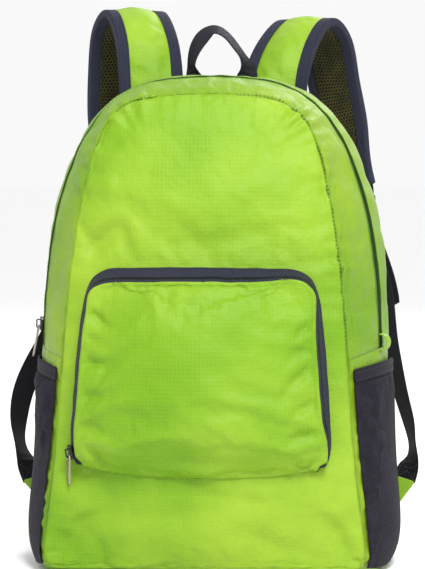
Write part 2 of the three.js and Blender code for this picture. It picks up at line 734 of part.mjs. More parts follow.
// sectionOf(station) gives the corners [across, out] in order, and each station has as many
function sweepGeometry(stations, sectionOf) {
  const contour = sectionOf(stations[0]).map(([a, b]) => new THREE.Vector2(a, b));
  const clockwise = THREE.ShapeUtils.isClockWise(contour);
  if (clockwise) contour.reverse();
  const n = contour.length;
  const corners = [];
  for (const station of stations) {
    const section = sectionOf(station);
    if (clockwise) section.reverse();
    for (const [a, b] of section)
      corners.push(
        station.point.clone().addScaledVector(station.across, a).addScaledVector(station.out, b),
      );
  }
  const faces = [];
  for (let i = 0; i + 1 < stations.length; i++)
    for (let k = 0; k < n; k++) {
      const a = i * n + k;
      const b = i * n + ((k + 1) % n);
      faces.push(a, b, b + n, a, b + n, a + n);
    }
  const last = (stations.length - 1) * n;
  for (const [a, b, c] of THREE.ShapeUtils.triangulateShape(contour, [])) {
    faces.push(a, c, b);
    faces.push(last + a, last + b, last + c);
  }
  return outward(geometryOf(corners, faces));
}

// Turns the faces of a closed geometry round if they point inwards
function outward(geometry) {
  const position = geometry.getAttribute("position");
  const index = geometry.getIndex().array;
  const corner = (i) => new THREE.Vector3().fromBufferAttribute(position, index[i]);
  let volume = 0;
  for (let i = 0; i < index.length; i += 3)
    volume += corner(i).dot(corner(i + 1).cross(corner(i + 2)));
  if (volume < 0) {
    const turned = [];
    for (let i = 0; i < index.length; i += 3) turned.push(index[i], index[i + 2], index[i + 1]);
    geometry.setIndex(turned);
    geometry.computeVertexNormals();
  }
  return geometry;
}

const rectangle = (half, low, high) => [
  [-half, low],
  [half, low],
  [half, high],
  [-half, high],
];

const strapHalfThick = PAD_EDGE / 2 + STRAP_GAP + BINDING_THICK;

// The straps are seated on the back panel, the right one over the end of the grab loop
function strapStations(side) {
  const rows = STRAP_ROUTE[side > 0 ? "right" : "left"];
  const under = side > 0 ? LOOP_STAND + WEBBING_THICK / 2 : STRAP_SEAT;
  const route = rows.map((row) => {
    const x = (side * row.x * BACK_WIDTH) / 2;
    const z = row.z * BACK_HEIGHT;
    return { x, y: backY(x, z) + under + strapHalfThick + row.back * STRAP_REACH, z };
  });
  return stationsOf(route, STRAP_STEPS, (place) => {
    const turn = radians(column(rows, "turn", place));
    return new THREE.Vector3(Math.cos(turn), -side * Math.sin(turn), 0);
  });
}

// Half width of the strap at a share of its length
function strapHalf(t) {
  const narrow = smooth(t, 1 - STRAP_TAPER, 1);
  return lerp(STRAP_WIDTH, STRAP_TAIL_WIDTH, narrow) / 2;
}

function shoulderStrap(side) {
  const word = side > 0 ? "right" : "left";
  const stations = strapStations(side);
  const edgeHalf = PAD_EDGE / 2;
  const inner = (t) => strapHalf(t) - BINDING_THICK - STRAP_GAP;
  const under = (t) => strapHalf(t) - BINDING_COVER - STRAP_GAP;
  const swell = (t) => PAD_SWELL * smooth(t, 0, SWELL_FADE) * smooth(1 - t, SWELL_FADE, 2 * SWELL_FADE);
  addPiece(
    `strap_pad_${word}`,
    sweepGeometry(stations, ({ t }) => [
      [-inner(t), -edgeHalf],
      ...STRAP_COLUMNS.map((share) => [share * under(t), -edgeHalf]),
      [inner(t), -edgeHalf],
      [inner(t), edgeHalf],
      ...STRAP_COLUMNS.map((share) => [-share * under(t), edgeHalf + swell(t) * (1 - share ** 4)]),
      [-inner(t), edgeHalf],
    ]),
    lime(),
  );
  const liningTop = -edgeHalf - STRAP_GAP;
  addPiece(
    `strap_lining_${word}`,
    sweepGeometry(stations, ({ t }) => [
      ...STRAP_COLUMNS.map((share) => [share * under(t), liningTop - LINING_THICK]),
      ...STRAP_COLUMNS.map((share) => [-share * under(t), liningTop]),
    ]),
    olive(),
  );
  const wrap = edgeHalf + STRAP_GAP;
  for (const edge of [-1, 1]) {
    const place = edge === side ? "outer" : "inner";
    addPiece(
      `strap_binding_${place}_${word}`,
      sweepGeometry(stations, ({ t }) => {
        const rim = strapHalf(t);
        const reach = rim - BINDING_COVER;
        return [
          [reach, -wrap - BINDING_THICK],
          [rim, -wrap - BINDING_THICK],
          [rim, wrap + BINDING_THICK],
          [reach, wrap + BINDING_THICK],
          [reach, wrap],
          [rim - BINDING_THICK, wrap],
          [rim - BINDING_THICK, -wrap],
          [reach, -wrap],
        ].map(([a, b]) => [edge * a, b]);
      }),
      slate(),
    );
  }
  return stations;
}

// A ladder lock: a flat plate with three slots, on the strap's line. Its frame is across its width,
// down its length and out of its face.
const lockLength = 4 * LOCK_BAR + 3 * LOCK_SLOT;

function lockOutline() {
  const half = LOCK_WIDTH / 2;
  const shape = new THREE.Shape([
    new THREE.Vector2(-half + LOCK_CHAMFER, 0),
    new THREE.Vector2(half - LOCK_CHAMFER, 0),
    new THREE.Vector2(half, LOCK_CHAMFER),
    new THREE.Vector2(half, lockLength - LOCK_CHAMFER),
    new THREE.Vector2(half - LOCK_CHAMFER, lockLength),
    new THREE.Vector2(-half + LOCK_CHAMFER, lockLength),
    new THREE.Vector2(-half, lockLength - LOCK_CHAMFER),
    new THREE.Vector2(-half, LOCK_CHAMFER),
  ]);
  const slotHalf = half - LOCK_SIDE;
  for (let i = 0; i < 3; i++) {
    const low = LOCK_BAR + i * (LOCK_BAR + LOCK_SLOT);
    shape.holes.push(
      new THREE.Path([
        new THREE.Vector2(-slotHalf, low),
        new THREE.Vector2(-slotHalf, low + LOCK_SLOT),
        new THREE.Vector2(slotHalf, low + LOCK_SLOT),
        new THREE.Vector2(slotHalf, low),
      ]),
    );
  }
  return shape;
}

function ladderLock(side, end) {
  const down = new THREE.Vector3().crossVectors(end.out, end.across).normalize();
  if (down.z > 0) down.negate();
  const word = side > 0 ? "right" : "left";
  down.applyAxisAngle(end.out, side * radians(LOCK_TILT[word]));
  const across = new THREE.Vector3().crossVectors(down, end.out).normalize();
  const top = end.point.clone().addScaledVector(down, LOCK_DROP);
  const geometry = new THREE.ExtrudeGeometry(lockOutline(), { depth: LOCK_THICK, bevelEnabled: false });
  geometry.translate(0, 0, -LOCK_THICK / 2);
  geometry.applyMatrix4(new THREE.Matrix4().makeBasis(across, down, end.out).setPosition(top));
  addPiece(`ladder_lock_${word}`, geometry, black());
  return { top, down, across, out: end.out };
}

// Points of a half turn round one of the lock's bars, angles from its downward side
function turnRound(lock, barMiddle, from, to) {
  const steps = 6;
  return Array.from({ length: steps + 1 }, (_, i) => {
    const angle = radians(lerp(from, to, i / steps));
    return lock.top
      .clone()
      .addScaledVector(lock.down, barMiddle + lockTurn * Math.cos(angle))
      .addScaledVector(lock.out, lockTurn * Math.sin(angle));
  });
}

function ribbonAlong(points, acrossOf) {
  const stations = points.map((point, i) => {
    const next = points[Math.min(i + 1, points.length - 1)];
    const tangent = next.clone().sub(points[Math.max(i - 1, 0)]).normalize();
    const out = new THREE.Vector3().crossVectors(acrossOf(i), tangent).normalize();
    const across = new THREE.Vector3().crossVectors(tangent, out).normalize();
    return { point, across, out, t: i / (points.length - 1) };
  });
  const half = WEBBING_WIDTH / 2;
  return sweepGeometry(stations, () => rectangle(half, -WEBBING_THICK / 2, WEBBING_THICK / 2));
}

// Middle of the webbing from the middle of a bar it turns round, and from the middle of the strap's end
const lockTurn = Math.hypot(LOCK_BAR, LOCK_THICK) / 2 + SEAM_GAP + WEBBING_THICK / 2;
const strapTurn = PAD_EDGE / 2 + STRAP_GAP + LINING_THICK + SEAM_GAP + WEBBING_THICK / 2;

// The tongue: a folded webbing that grips the strap's end on both faces and runs round the lock's top bar
function tongue(side, stations, lock) {
  const lap = stations.slice(-3);
  const seat = (station, sign) => station.point.clone().addScaledVector(station.out, sign * strapTurn);
  const points = [
    ...lap.map((station) => seat(station, -1)),
    ...turnRound(lock, LOCK_BAR / 2, -90, 90),
    ...lap.reverse().map((station) => seat(station, 1)),
  ];
  addPiece(
    `strap_tongue_${side > 0 ? "right" : "left"}`,
    ribbonAlong(points, () => lock.across),
    black(),
  );
}

// The foot tab's rear face, and the middle of the webbing that is sewn on it
const tabRear = BASE_DEPTH / 2 + TAB_BACK + TAB_THICK;
const webbingY = tabRear + TAB_GAP + WEBBING_THICK / 2;

function webbingPoint(side, row) {
  const x = (side * row.x * BACK_WIDTH) / 2;
  return new THREE.Vector3(x, webbingY + row.back * STRAP_REACH, row.z * BACK_HEIGHT);
}

// The webbing: up from its tab to the lock, round the third bar and back down as a loose tail
function webbing(side, lock) {
  const word = side > 0 ? "right" : "left";
  const table = WEBBING_ROUTE[word];
  const barMiddle = 2 * (LOCK_BAR + LOCK_SLOT) + LOCK_BAR / 2;
  const behind = (along) =>
    lock.top.clone().addScaledVector(lock.down, along).addScaledVector(lock.out, -lockTurn);
  const hang = new THREE.CatmullRomCurve3(
    [
      behind(barMiddle),
      behind(lockLength + LOCK_BAR),
      ...table.map((row) => webbingPoint(side, row)),
    ],
    false,
    "centripetal",
  );
  const up = Array.from({ length: WEBBING_STEPS }, (_, i) => hang.getPoint(1 - i / WEBBING_STEPS));
  const tailSteps = 5;
  const tail = Array.from({ length: tailSteps }, (_, i) =>
    hang
      .getPoint(((i + 1) / tailSteps) * TAIL_SHARE)
      .addScaledVector(lock.out, 2 * lockTurn),
  );
  const acrossOf = (i) => {
    if (i >= up.length) return lock.across;
    const place = (1 - i / WEBBING_STEPS) * (table.length + 1) - 2;
    const turn = radians(column(table, "turn", clamp(place, 0, table.length - 1)));
    const face = new THREE.Vector3(Math.cos(turn), -side * Math.sin(turn), 0);
    if (face.dot(lock.across) < 0) face.negate();
    return face.lerp(lock.across, smooth(i, up.length - 5, up.length)).normalize();
  };
  const points = [...up, ...turnRound(lock, barMiddle, -90, -270), ...tail];
  addPiece(`webbing_${word}`, ribbonAlong(points, acrossOf), black());
}

// A cloth tab, sewn into the back seam at the foot corner, that the webbing's end is sewn to
function footTab(side) {
  const word = side > 0 ? "right" : "left";
  const end = webbingPoint(1, WEBBING_ROUTE[word][WEBBING_ROUTE[word].length - 1]);
  const seamX = BACK_WIDTH / 2 + SEAM_GAP;
  const half = WEBBING_WIDTH / 2;
  const top = end.z + TAB_LAP;
  const shape = new THREE.Shape([
    new THREE.Vector2(0, top - TAB_HEIGHT),
    new THREE.Vector2(end.x - seamX + half, top - TAB_CUT * half),
    new THREE.Vector2(end.x - seamX - half, top),
    new THREE.Vector2(0, top),
  ]);
  const geometry = new THREE.ExtrudeGeometry(shape, { depth: TAB_THICK, bevelEnabled: false });
  geometry.rotateX(Math.PI / 2);
  geometry.translate(seamX, tabRear, 0);
  if (side < 0) geometry.scale(-1, 1, 1);
  addPiece(`foot_tab_${word}`, outward(indexed(geometry)), lime());
}

function indexed(geometry) {
  const count = geometry.getAttribute("position").count;
  if (!geometry.getIndex()) geometry.setIndex(Array.from({ length: count }, (_, i) => i));
  return geometry;
}

for (const side of [-1, 1]) {
  const stations = shoulderStrap(side);
  const lock = ladderLock(side, stations[stations.length - 1]);
  tongue(side, stations, lock);
  webbing(side, lock);
  footTab(side);
}

// Grab loop

const loopRoute = LOOP_ROUTE.map((row) => ({
  x: row.x * LOOP_HALF,
  y: backSeamY(1) + row.back * LOOP_STAND,
  z: BACK_HEIGHT + row.z * LOOP_RISE,
}));
const loopStations = stationsOf(loopRoute, LOOP_STEPS, (place, tangent) => {
  const lean = radians(column(LOOP_ROUTE, "lean", place));
  const level = new THREE.Vector3(0, 1, 0);
  const outside = new THREE.Vector3().crossVectors(tangent, level).normalize();
  return level.multiplyScalar(Math.cos(lean)).addScaledVector(outside, Math.sin(lean));
});
addPiece(
  "grab_loop",
  sweepGeometry(loopStations, () => rectangle(LOOP_WIDTH / 2, -WEBBING_THICK / 2, WEBBING_THICK / 2)),
  black(),
);

// Zip sliders and pulls. Their frame has x across, y up the zip and z out of the cloth.

function solidOf(geometry) {
  const bare = geometry.clone();
  bare.deleteAttribute("normal");
  bare.deleteAttribute("uv");
  const merged = mergeVertices(bare, 1e-4);
  return new wasm.Manifold(
    new wasm.Mesh({
      numProp: 3,
      vertProperties: new Float32Array(merged.getAttribute("position").array),
      triVerts: new Uint32Array(merged.getIndex().array),
    }),
  );
}

function joined(first, second) {
  const mesh = solidOf(first).add(solidOf(second)).getMesh();
  const corners = [];
  for (let i = 0; i < mesh.vertProperties.length; i += mesh.numProp)
    corners.push(new THREE.Vector3(...mesh.vertProperties.slice(i, i + 3)));
  return geometryOf(corners, [...mesh.triVerts]);
}

// An outline drawn up the zip and out of the cloth, made into a plate that runs across
function acrossPlate(outline, width) {
  const geometry = new THREE.ExtrudeGeometry(new THREE.Shape(outline), {
    depth: width,
    bevelEnabled: false,
  });
  geometry.translate(0, 0, -width / 2);
  const up = new THREE.Vector3(0, 1, 0);
  const out = new THREE.Vector3(0, 0, 1);
  return geometry.applyMatrix4(
    new THREE.Matrix4().makeBasis(up, out, new THREE.Vector3().crossVectors(up, out)),
  );
}

const at = (x, y) => new THREE.Vector2(x, y);

// The body stands on z = 0, with a bridge over it that the pull hangs on
function sliderGeometry() {
  const half = SLIDER_WIDTH / 2;
  const nose = SLIDER_LENGTH / 2;
  const outline = [
    [0.6, -1],
    [0.75, 0],
    [1, 0.55],
    [0.7, 1],
  ];
  const rightSide = outline.map(([x, y]) => at(x * half, y * nose));
  const leftSide = outline.map(([x, y]) => at(-x * half, y * nose)).reverse();
  const body = new THREE.ExtrudeGeometry(new THREE.Shape([...rightSide, ...leftSide]), {
    depth: SLIDER_THICK,
    bevelEnabled: false,
  });
  const end = BRIDGE_LENGTH / 2;
  const inside = end - BRIDGE_THICK;
  const foot = SLIDER_THICK / 2;
  const under = SLIDER_THICK + BRIDGE_RISE;
  const arch = acrossPlate(
    [
      at(-end, foot),
      at(-inside, foot),
      at(-inside, under),
      at(inside, under),
      at(inside, foot),
      at(end, foot),
      at(end, under),
      at(inside, under + BRIDGE_THICK),
      at(-inside, under + BRIDGE_THICK),
      at(-end, under),
    ],
    BRIDGE_WIDTH,
  );
  return joined(body, arch);
}

// The pull lies on the body, with its eye round the lower leg of the bridge
function pullGeometry() {
  const half = PULL_WIDTH / 2;
  const rim = (PULL_WIDTH - PULL_EYE) / 2;
  const top = rim + BRIDGE_THICK + SEAM_GAP;
  const shape = new THREE.Shape([
    at(-half, top - PULL_CHAMFER),
    at(-half, top - PULL_EYE - 2 * rim),
    at(-half * 0.7, top - PULL_LENGTH + PULL_CHAMFER),
    at(-half * 0.4, top - PULL_LENGTH),
    at(half * 0.4, top - PULL_LENGTH),
    at(half * 0.7, top - PULL_LENGTH + PULL_CHAMFER),
    at(half, top - PULL_EYE - 2 * rim),
    at(half, top - PULL_CHAMFER),
    at(half - PULL_CHAMFER, top),
    at(PULL_CHAMFER - half, top),
  ]);
  shape.holes.push(
    new THREE.Path([
      at(-PULL_EYE / 2, top - rim),
      at(PULL_EYE / 2, top - rim),
      at(PULL_EYE / 2, top - rim - PULL_EYE),
      at(-PULL_EYE / 2, top - rim - PULL_EYE),
    ]),
  );
  const geometry = new THREE.ExtrudeGeometry(shape, { depth: PULL_THICK, bevelEnabled: false });
  return geometry
    .translate(0, 0, -PULL_THICK / 2)
    .rotateX(radians(-PULL_SWING))
    .translate(0, -BRIDGE_LENGTH / 2, SLIDER_THICK + PULL_LIFT + PULL_THICK / 2);
}

// name, a point on the cloth, the way up the zip and the way out of the cloth
function zipHardware(name, point, up, out) {
  const across = new THREE.Vector3().crossVectors(up, out).normalize();
  const upright = new THREE.Vector3().crossVectors(out, across).normalize();
  const place = new THREE.Matrix4()
    .makeBasis(across, upright, out)
    .setPosition(point.clone().addScaledVector(out, ZIP_SEAT));
  addPiece(`${name}_slider`, sliderGeometry().applyMatrix4(place), black());
  addPiece(`${name}_pull`, pullGeometry().applyMatrix4(place), metal());
}

function facing(pointOf, a, b, step) {
  const up = pointOf(a + step, b).sub(pointOf(a - step, b));
  const over = pointOf(a, b + step).sub(pointOf(a, b - step));
  return { up: up.normalize(), out: up.clone().cross(over).normalize() };
}

const pocketSide = facing(pocketEdge, POCKET_SLIDER_PLACE, TAPE_SPLIT, 0.02);
if (pocketSide.out.x > 0) pocketSide.out.negate();
zipHardware(
  "pocket_zip",
  pocketEdge(POCKET_SLIDER_PLACE, TAPE_SPLIT),
  pocketSide.up,
  pocketSide.out,
);

const zipMiddle = (ZIP_FRONT + ZIP_BACK) / 2;
const leftSide = (row, depth) => sidePoint(-1, row, depth);
const leftFace = facing(leftSide, MAIN_SLIDER_ROW, zipMiddle, 0.02);
if (leftFace.out.x > 0) leftFace.out.negate();
zipHardware("main_zip", leftSide(MAIN_SLIDER_ROW, zipMiddle), leftFace.up, leftFace.out);

// A folded loop of cloth closes the right end of the main zip
function zipEndLoop() {
  const rightSide = (row, depth) => sidePoint(1, row, depth);
  const { up, out } = facing(rightSide, END_LOOP_ROW, zipMiddle, 0.02);
  if (out.x < 0) out.negate();
  const foot = rightSide(END_LOOP_ROW, zipMiddle);
  const seat = END_LOOP_SEAT + END_LOOP_THICK / 2;
  const turns = 8;
  const points = Array.from({ length: turns + 1 }, (_, i) => {
    const angle = Math.PI * (i / turns - 0.5);
    return foot
      .clone()
      .addScaledVector(up, -(Math.sin(angle) * END_LOOP_LENGTH) / 2)
      .addScaledVector(out, seat + END_LOOP_REACH * Math.cos(angle) ** 0.8);
  });
  const across = new THREE.Vector3().crossVectors(up, out).normalize();
  const half = END_LOOP_WIDTH / 2;
  const stations = points.map((point, i) => {
    const next = points[Math.min(i + 1, turns)];
    const tangent = next.clone().sub(points[Math.max(i - 1, 0)]).normalize();
    return { point, across, out: new THREE.Vector3().crossVectors(across, tangent), t: i / turns };
  });
  const section = () => rectangle(half, -END_LOOP_THICK / 2, END_LOOP_THICK / 2);
  addPiece("zip_end_loop", sweepGeometry(stations, section), lime());
}
zipEndLoop();

export default backpack;
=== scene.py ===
# A light packable daypack in lime ripstop nylon, standing on a pale studio floor.
import math

import bmesh
import bpy
from mathutils import Matrix, Vector, kdtree, noise
from mathutils.bvhtree import BVHTree


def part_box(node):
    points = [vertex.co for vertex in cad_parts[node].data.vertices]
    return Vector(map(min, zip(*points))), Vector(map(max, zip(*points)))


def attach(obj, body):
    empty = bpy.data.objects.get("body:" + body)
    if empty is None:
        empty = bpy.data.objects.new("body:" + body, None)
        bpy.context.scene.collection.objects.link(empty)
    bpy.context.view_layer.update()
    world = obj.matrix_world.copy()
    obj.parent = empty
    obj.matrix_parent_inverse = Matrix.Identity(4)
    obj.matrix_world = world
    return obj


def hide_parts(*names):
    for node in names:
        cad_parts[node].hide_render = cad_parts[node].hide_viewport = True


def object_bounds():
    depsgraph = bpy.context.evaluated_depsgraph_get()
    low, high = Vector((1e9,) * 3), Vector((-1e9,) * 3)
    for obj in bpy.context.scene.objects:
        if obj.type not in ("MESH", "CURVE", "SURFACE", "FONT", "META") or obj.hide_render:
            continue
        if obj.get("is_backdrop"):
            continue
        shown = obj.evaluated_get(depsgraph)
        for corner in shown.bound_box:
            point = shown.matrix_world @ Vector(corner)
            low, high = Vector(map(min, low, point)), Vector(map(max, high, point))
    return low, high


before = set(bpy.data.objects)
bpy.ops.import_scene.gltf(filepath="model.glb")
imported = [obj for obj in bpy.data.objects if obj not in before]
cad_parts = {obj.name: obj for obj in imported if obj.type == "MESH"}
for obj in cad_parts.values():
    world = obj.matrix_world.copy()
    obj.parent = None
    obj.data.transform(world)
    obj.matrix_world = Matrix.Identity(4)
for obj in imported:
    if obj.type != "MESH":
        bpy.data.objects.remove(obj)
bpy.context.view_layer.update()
scene = bpy.context.scene
scene.view_settings.view_transform = "Standard"

# The studio: a long lens a little to the bag's left front, a pale floor, and large soft lights.
# The lens and its distance give the photograph's view of a bag that is 430 mm tall.
AIM = Vector((-0.001, 0, 0.2466))
AZIMUTH = math.radians(5)
ELEVATION = math.radians(3)
DISTANCE = 2.1
LENS_MM = 151.3
FLOOR_RADIUS = 30
WORLD_GLOW = 0.95
LIGHTS = [
    {"name": "key", "place": (0.36, -1.3, 1.55), "size": 0.5, "watts": 37},
    {"name": "back", "place": (0.8, 2.1, 1.8), "size": 1.2, "watts": 26},
]

toward = Vector(
    (
        math.sin(AZIMUTH) * math.cos(ELEVATION),
        -math.cos(AZIMUTH) * math.cos(ELEVATION),
        math.sin(ELEVATION),
    )
)
camera = bpy.data.objects.new("camera", bpy.data.cameras.new("camera"))
camera.data.lens = LENS_MM
camera.location = AIM + toward * DISTANCE
camera.rotation_euler = (-toward).to_track_quat("-Z", "Y").to_euler()
scene.collection.objects.link(camera)
scene.camera = camera

for light in LIGHTS:
    data = bpy.data.lights.new(light["name"], "AREA")
    data.size = light["size"]
    data.energy = light["watts"]
    lamp = bpy.data.objects.new(light["name"], data)
    lamp.location = light["place"]
    lamp.rotation_euler = (AIM - lamp.location).to_track_quat("-Z", "Y").to_euler()
    scene.collection.objects.link(lamp)

world = bpy.data.worlds.new("studio")
world.use_nodes = True
world.node_tree.nodes["Background"].inputs["Color"].default_value = (1, 1, 1, 1)
world.node_tree.nodes["Background"].inputs["Strength"].default_value = WORLD_GLOW
scene.world = world


# A node of a material's tree. An input is named with _ for each space, or by i and its number, and a
# value that is a socket is linked to it.
def add_node(tree, kind, settings=None, **values):
    node = tree.nodes.new("ShaderNode" + kind)
    for key, value in (settings or {}).items():
        setattr(node, key, value)
    for key, value in values.items():
        slot = int(key[1:]) if key[1:].isdigit() else key.replace("_", " ")
        if isinstance(value, bpy.types.NodeSocket):
            tree.links.new(value, node.inputs[slot])
        else:
            node.inputs[slot].default_value = value
    return node


def add_math(tree, operation, *values):
    names = {f"i{k}": value for k, value in enumerate(values)}
    return add_node(tree, "Math", {"operation": operation}, **names).outputs[0]


def new_material(name, **values):
    made = bpy.data.materials.new(name)
    made.use_nodes = True
    shader = made.node_tree.nodes["Principled BSDF"]
    for key, value in values.items():
        shader.inputs[key.replace("_", " ")].default_value = value
    return made, made.node_tree, shader


floor_paint, floor_tree, floor_shader = new_material("pale_floor", Roughness=0.8)
grain = add_node(floor_tree, "TexNoise", Scale=60.0, Detail=3.0)
tone = add_node(floor_tree, "MapRange", Value=grain.outputs["Fac"], To_Min=0.965, To_Max=0.99)
floor_tree.links.new(tone.outputs["Result"], floor_shader.inputs["Base Color"])
floor_mesh = bpy.data.meshes.new("floor")
bm = bmesh.new()
bmesh.ops.create_circle(bm, cap_ends=True, radius=FLOOR_RADIUS, segments=64)
bm.to_mesh(floor_mesh)
bm.free()
floor = bpy.data.objects.new("floor", floor_mesh)
floor_mesh.materials.append(floor_paint)
scene.collection.objects.link(floor)
floor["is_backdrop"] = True

# The bag's cloth: thin lime nylon with a ripstop grid of thicker threads. It was folded small and packed,
# so it keeps faint creases, and its sewn edges show needle holes in a valley darkened with painted shade.
LIME = (0.242, 0.385, 0.02, 1)
LIME_DEEP = (0.118, 0.275, 0.002, 1)
LIME_WORN = (0.29, 0.42, 0.04, 1)
GUSSET_PAINTED_SHADE = 0.83  # painted shade: the gussets are coloured this much deeper than the panels, as deep as their shaded sides look in the photograph
RIPSTOP_CELL = 0.0034
RIPSTOP_LINE = 0.0006
WEAVE_PITCH = 0.0004
RIPSTOP_SHOWN = 0.14  # how much paler the grid's thick threads look
DYE_PATCHES = 7.0
CRINKLES = 34.0
GRAIN = 95.0
GLOSS = (0.36, 0.52)
NEEDLE_PITCH = 0.0034
# painted shade: a seam's valley is darkened out to this distance from the seam
SEAM_SHADE_WIDTH = 0.0016
# the needle holes' dark colour, also used for the painted shade in the seam's valley
NEEDLE_HOLE_AND_SEAM_SHADE = (0.025, 0.075, 0.003, 1)


# 1 on the lines of a square grid over two coordinates in metres, and 0 between them
def grid_lines(tree, coordinates, cell, line):
    parts = add_node(tree, "SeparateXYZ", i0=coordinates)
    found = []
    for axis in (0, 1):
        cells = add_math(tree, "DIVIDE", parts.outputs[axis], cell)
        share = add_math(tree, "FRACT", cells)
        off = add_math(tree, "ABSOLUTE", add_math(tree, "SUBTRACT", share, 0.5))
        edge = 0.5 - line / cell
        found.append(add_node(tree, "MapRange", Value=off, From_Min=edge, From_Max=0.5).outputs[0])
    return add_math(tree, "MAXIMUM", *found)


# Height of single threads that pass over and under each other
def weave_height(tree, coordinates, pitch):
    parts = add_node(tree, "SeparateXYZ", i0=coordinates)
    waves = [
        add_math(tree, "SINE", add_math(tree, "MULTIPLY", parts.outputs[axis], 2 * math.pi / pitch))
        for axis in (0, 1)
    ]
    return add_math(tree, "MULTIPLY", *waves)


def mixed(tree, share, first, second):
    node = tree.nodes.new("ShaderNodeMix")
    node.data_type = "RGBA"
    for socket, value in ((node.inputs[0], share), (node.inputs[6], first), (node.inputs[7], second)):
        if isinstance(value, bpy.types.NodeSocket):
            tree.links.new(value, socket)
        else:
            socket.default_value = value
    return node.outputs[2]


def bumped(tree, shader, layers):
    normal = None
    for height, distance in layers:
        values = {"Height": height, "Distance": distance, "Strength": 1.0}
        if normal is not None:
            values["Normal"] = normal
        normal = add_node(tree, "Bump", **values).outputs["Normal"]
    tree.links.new(normal, shader.inputs["Normal"])


# The nylon's finish. Where it is sewn, it has dark needle holes beside the seam in a valley darkened with
# painted shade, and a factor below 1 darkens the whole colour as painted shade.
def ripstop_cloth(name, sewn, painted_shade=1):
    made, tree, shader = new_material(
        name, Specular_IOR_Level=0.24, Sheen_Weight=0.05, Sheen_Roughness=0.4
    )
    shader.inputs["Sheen Tint"].default_value = (0.75, 1, 0.45, 1)
    cloth = add_node(tree, "Attribute", {"attribute_name": "cloth"}).outputs["Vector"]
    place = add_node(tree, "TexCoord").outputs["Object"]
    lines = grid_lines(tree, cloth, RIPSTOP_CELL, RIPSTOP_LINE)
    threads = weave_height(tree, cloth, WEAVE_PITCH)
    broad = add_node(tree, "TexNoise", Vector=place, Scale=DYE_PATCHES, Detail=2.0).outputs["Fac"]
    fine = add_node(tree, "TexNoise", Vector=place, Scale=GRAIN, Detail=4.0).outputs["Fac"]
    crinkle = add_node(tree, "TexNoise", Vector=place, Scale=CRINKLES, Detail=3.0).outputs["Fac"]
    patches = add_node(tree, "MapRange", Value=broad, From_Min=0.35, From_Max=0.65).outputs[0]
    # painted shade: both lime colours are multiplied by this factor, so a piece given less than 1 looks
    # as if it stood in shade
    deep, plain = (tuple(part * painted_shade for part in lime[:3]) + (1,) for lime in (LIME_DEEP, LIME))
    colour = mixed(tree, patches, deep, plain)
    colour = mixed(tree, add_math(tree, "MULTIPLY", lines, RIPSTOP_SHOWN), colour, LIME_WORN)
    if sewn:
        seam = add_node(tree, "Attribute", {"attribute_name": "seam"})
        parts = add_node(tree, "SeparateXYZ", i0=seam.outputs["Vector"])
        away = parts.outputs[0]
        along = add_math(tree, "FRACT", add_math(tree, "DIVIDE", parts.outputs[1], NEEDLE_PITCH))
        # painted shade: the colour darkens towards the seam over this width, as if shade lay in the
        # seam's valley
        valley = add_node(tree, "MapRange", Value=away, From_Max=SEAM_SHADE_WIDTH, To_Min=1.0, To_Max=0.0)
        hole = add_math(tree, "LESS_THAN", along, 0.5)
        # the needle holes take nearly the full dark colour, and between them the valley keeps a lighter
        # painted shade
        depth = add_node(tree, "MapRange", Value=hole, To_Min=0.3, To_Max=0.95).outputs[0]
        shown = add_math(tree, "MULTIPLY", parts.outputs[2], depth)
        dark = add_math(tree, "MULTIPLY", valley.outputs[0], shown)
        colour = mixed(tree, dark, colour, NEEDLE_HOLE_AND_SEAM_SHADE)
    tree.links.new(colour, shader.inputs["Base Color"])
    gloss = add_node(tree, "MapRange", Value=fine, To_Min=GLOSS[0], To_Max=GLOSS[1])
    tree.links.new(gloss.outputs[0], shader.inputs["Roughness"])
    bumped(tree, shader, [(crinkle, 0.0035), (fine, 0.0009), (lines, 0.00009), (threads, 0.00002)])
    return made


sewn_ripstop = ripstop_cloth("ripstop_sewn", True)
# the gussets' copy of the nylon, with painted shade
painted_shade_gusset_ripstop = ripstop_cloth("ripstop_gusset_painted_shade", True, GUSSET_PAINTED_SHADE)

# The bag's body: front and back panels, gussets and the zip that runs over the top between them.
# They are cut from the same nylon and sewn inside out, so the seams pull in and the cloth puckers
# beside them. The skin is made as one sheet, billowed, and then cut apart at its seams.
CLOTH = 0.0012
SAME_POINT = 1e-5
SHELL_RIM = 0.0019  # a shell's rim is narrower than this, and every cell of its faces is wider
BODY_WELD = 0.0007
BODY_PARTS = ["front_panel", "back_panel", "front_gusset", "rear_gusset", "lower_gusset", "main_zip"]
BAG_MIDDLE = Vector((0, 0, 0.2))
BODY_LEVELS = 2
BODY_SLACK = 0.016  # how much wider the cloth is cut than the shape that it fills
BODY_PRESSURE = 0.4
BODY_MOVE = 0.006
SETTLE_FRAMES = 20
START_WAVE = 0.0006  # the cloth starts with waves of this height, so that it doesn't billow evenly
PUCKER_LENGTH = 0.0085  # from one pucker to the next along a seam
PUCKER_REACH = 0.014
PUCKER_DEEP = 0.0025
PUCKER_GAIN = 2.4
SEAM_SHIFT = 1.7  # each seam reads the noise from a place this far on
SEAM_DEEP = 0.0011
SEAM_WIDTH = 0.0024
FLOOR_CLEAR = 0.0002
FLOOR_HOLD = 0.009  # below this the bag's weight presses the puckers flat
ZIP_TAPE = (0.05, 0.12, 0.008, 1)
# the main zip's dark coil colour, which also stands for painted shade in its sunken groove
ZIP_COIL_AND_GROOVE_SHADE = (0.004, 0.014, 0.002, 1)
TOOTH_PITCH = 0.0014
TAPE_RIB = 0.0009
ZIP_SUNK = 0.0028
ZIP_LIP = 0.0006
ZIP_ROW_OFF = 0.0028  # from the zip's edge to its row of stitches
FOLD_SWAY = 0.25
SIDE_POCKET_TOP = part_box("side_pocket_hem_left")[1].z
SIDE_POCKET_INSIDE = 0.12  # the side pockets lie outside this distance from the bag's middle
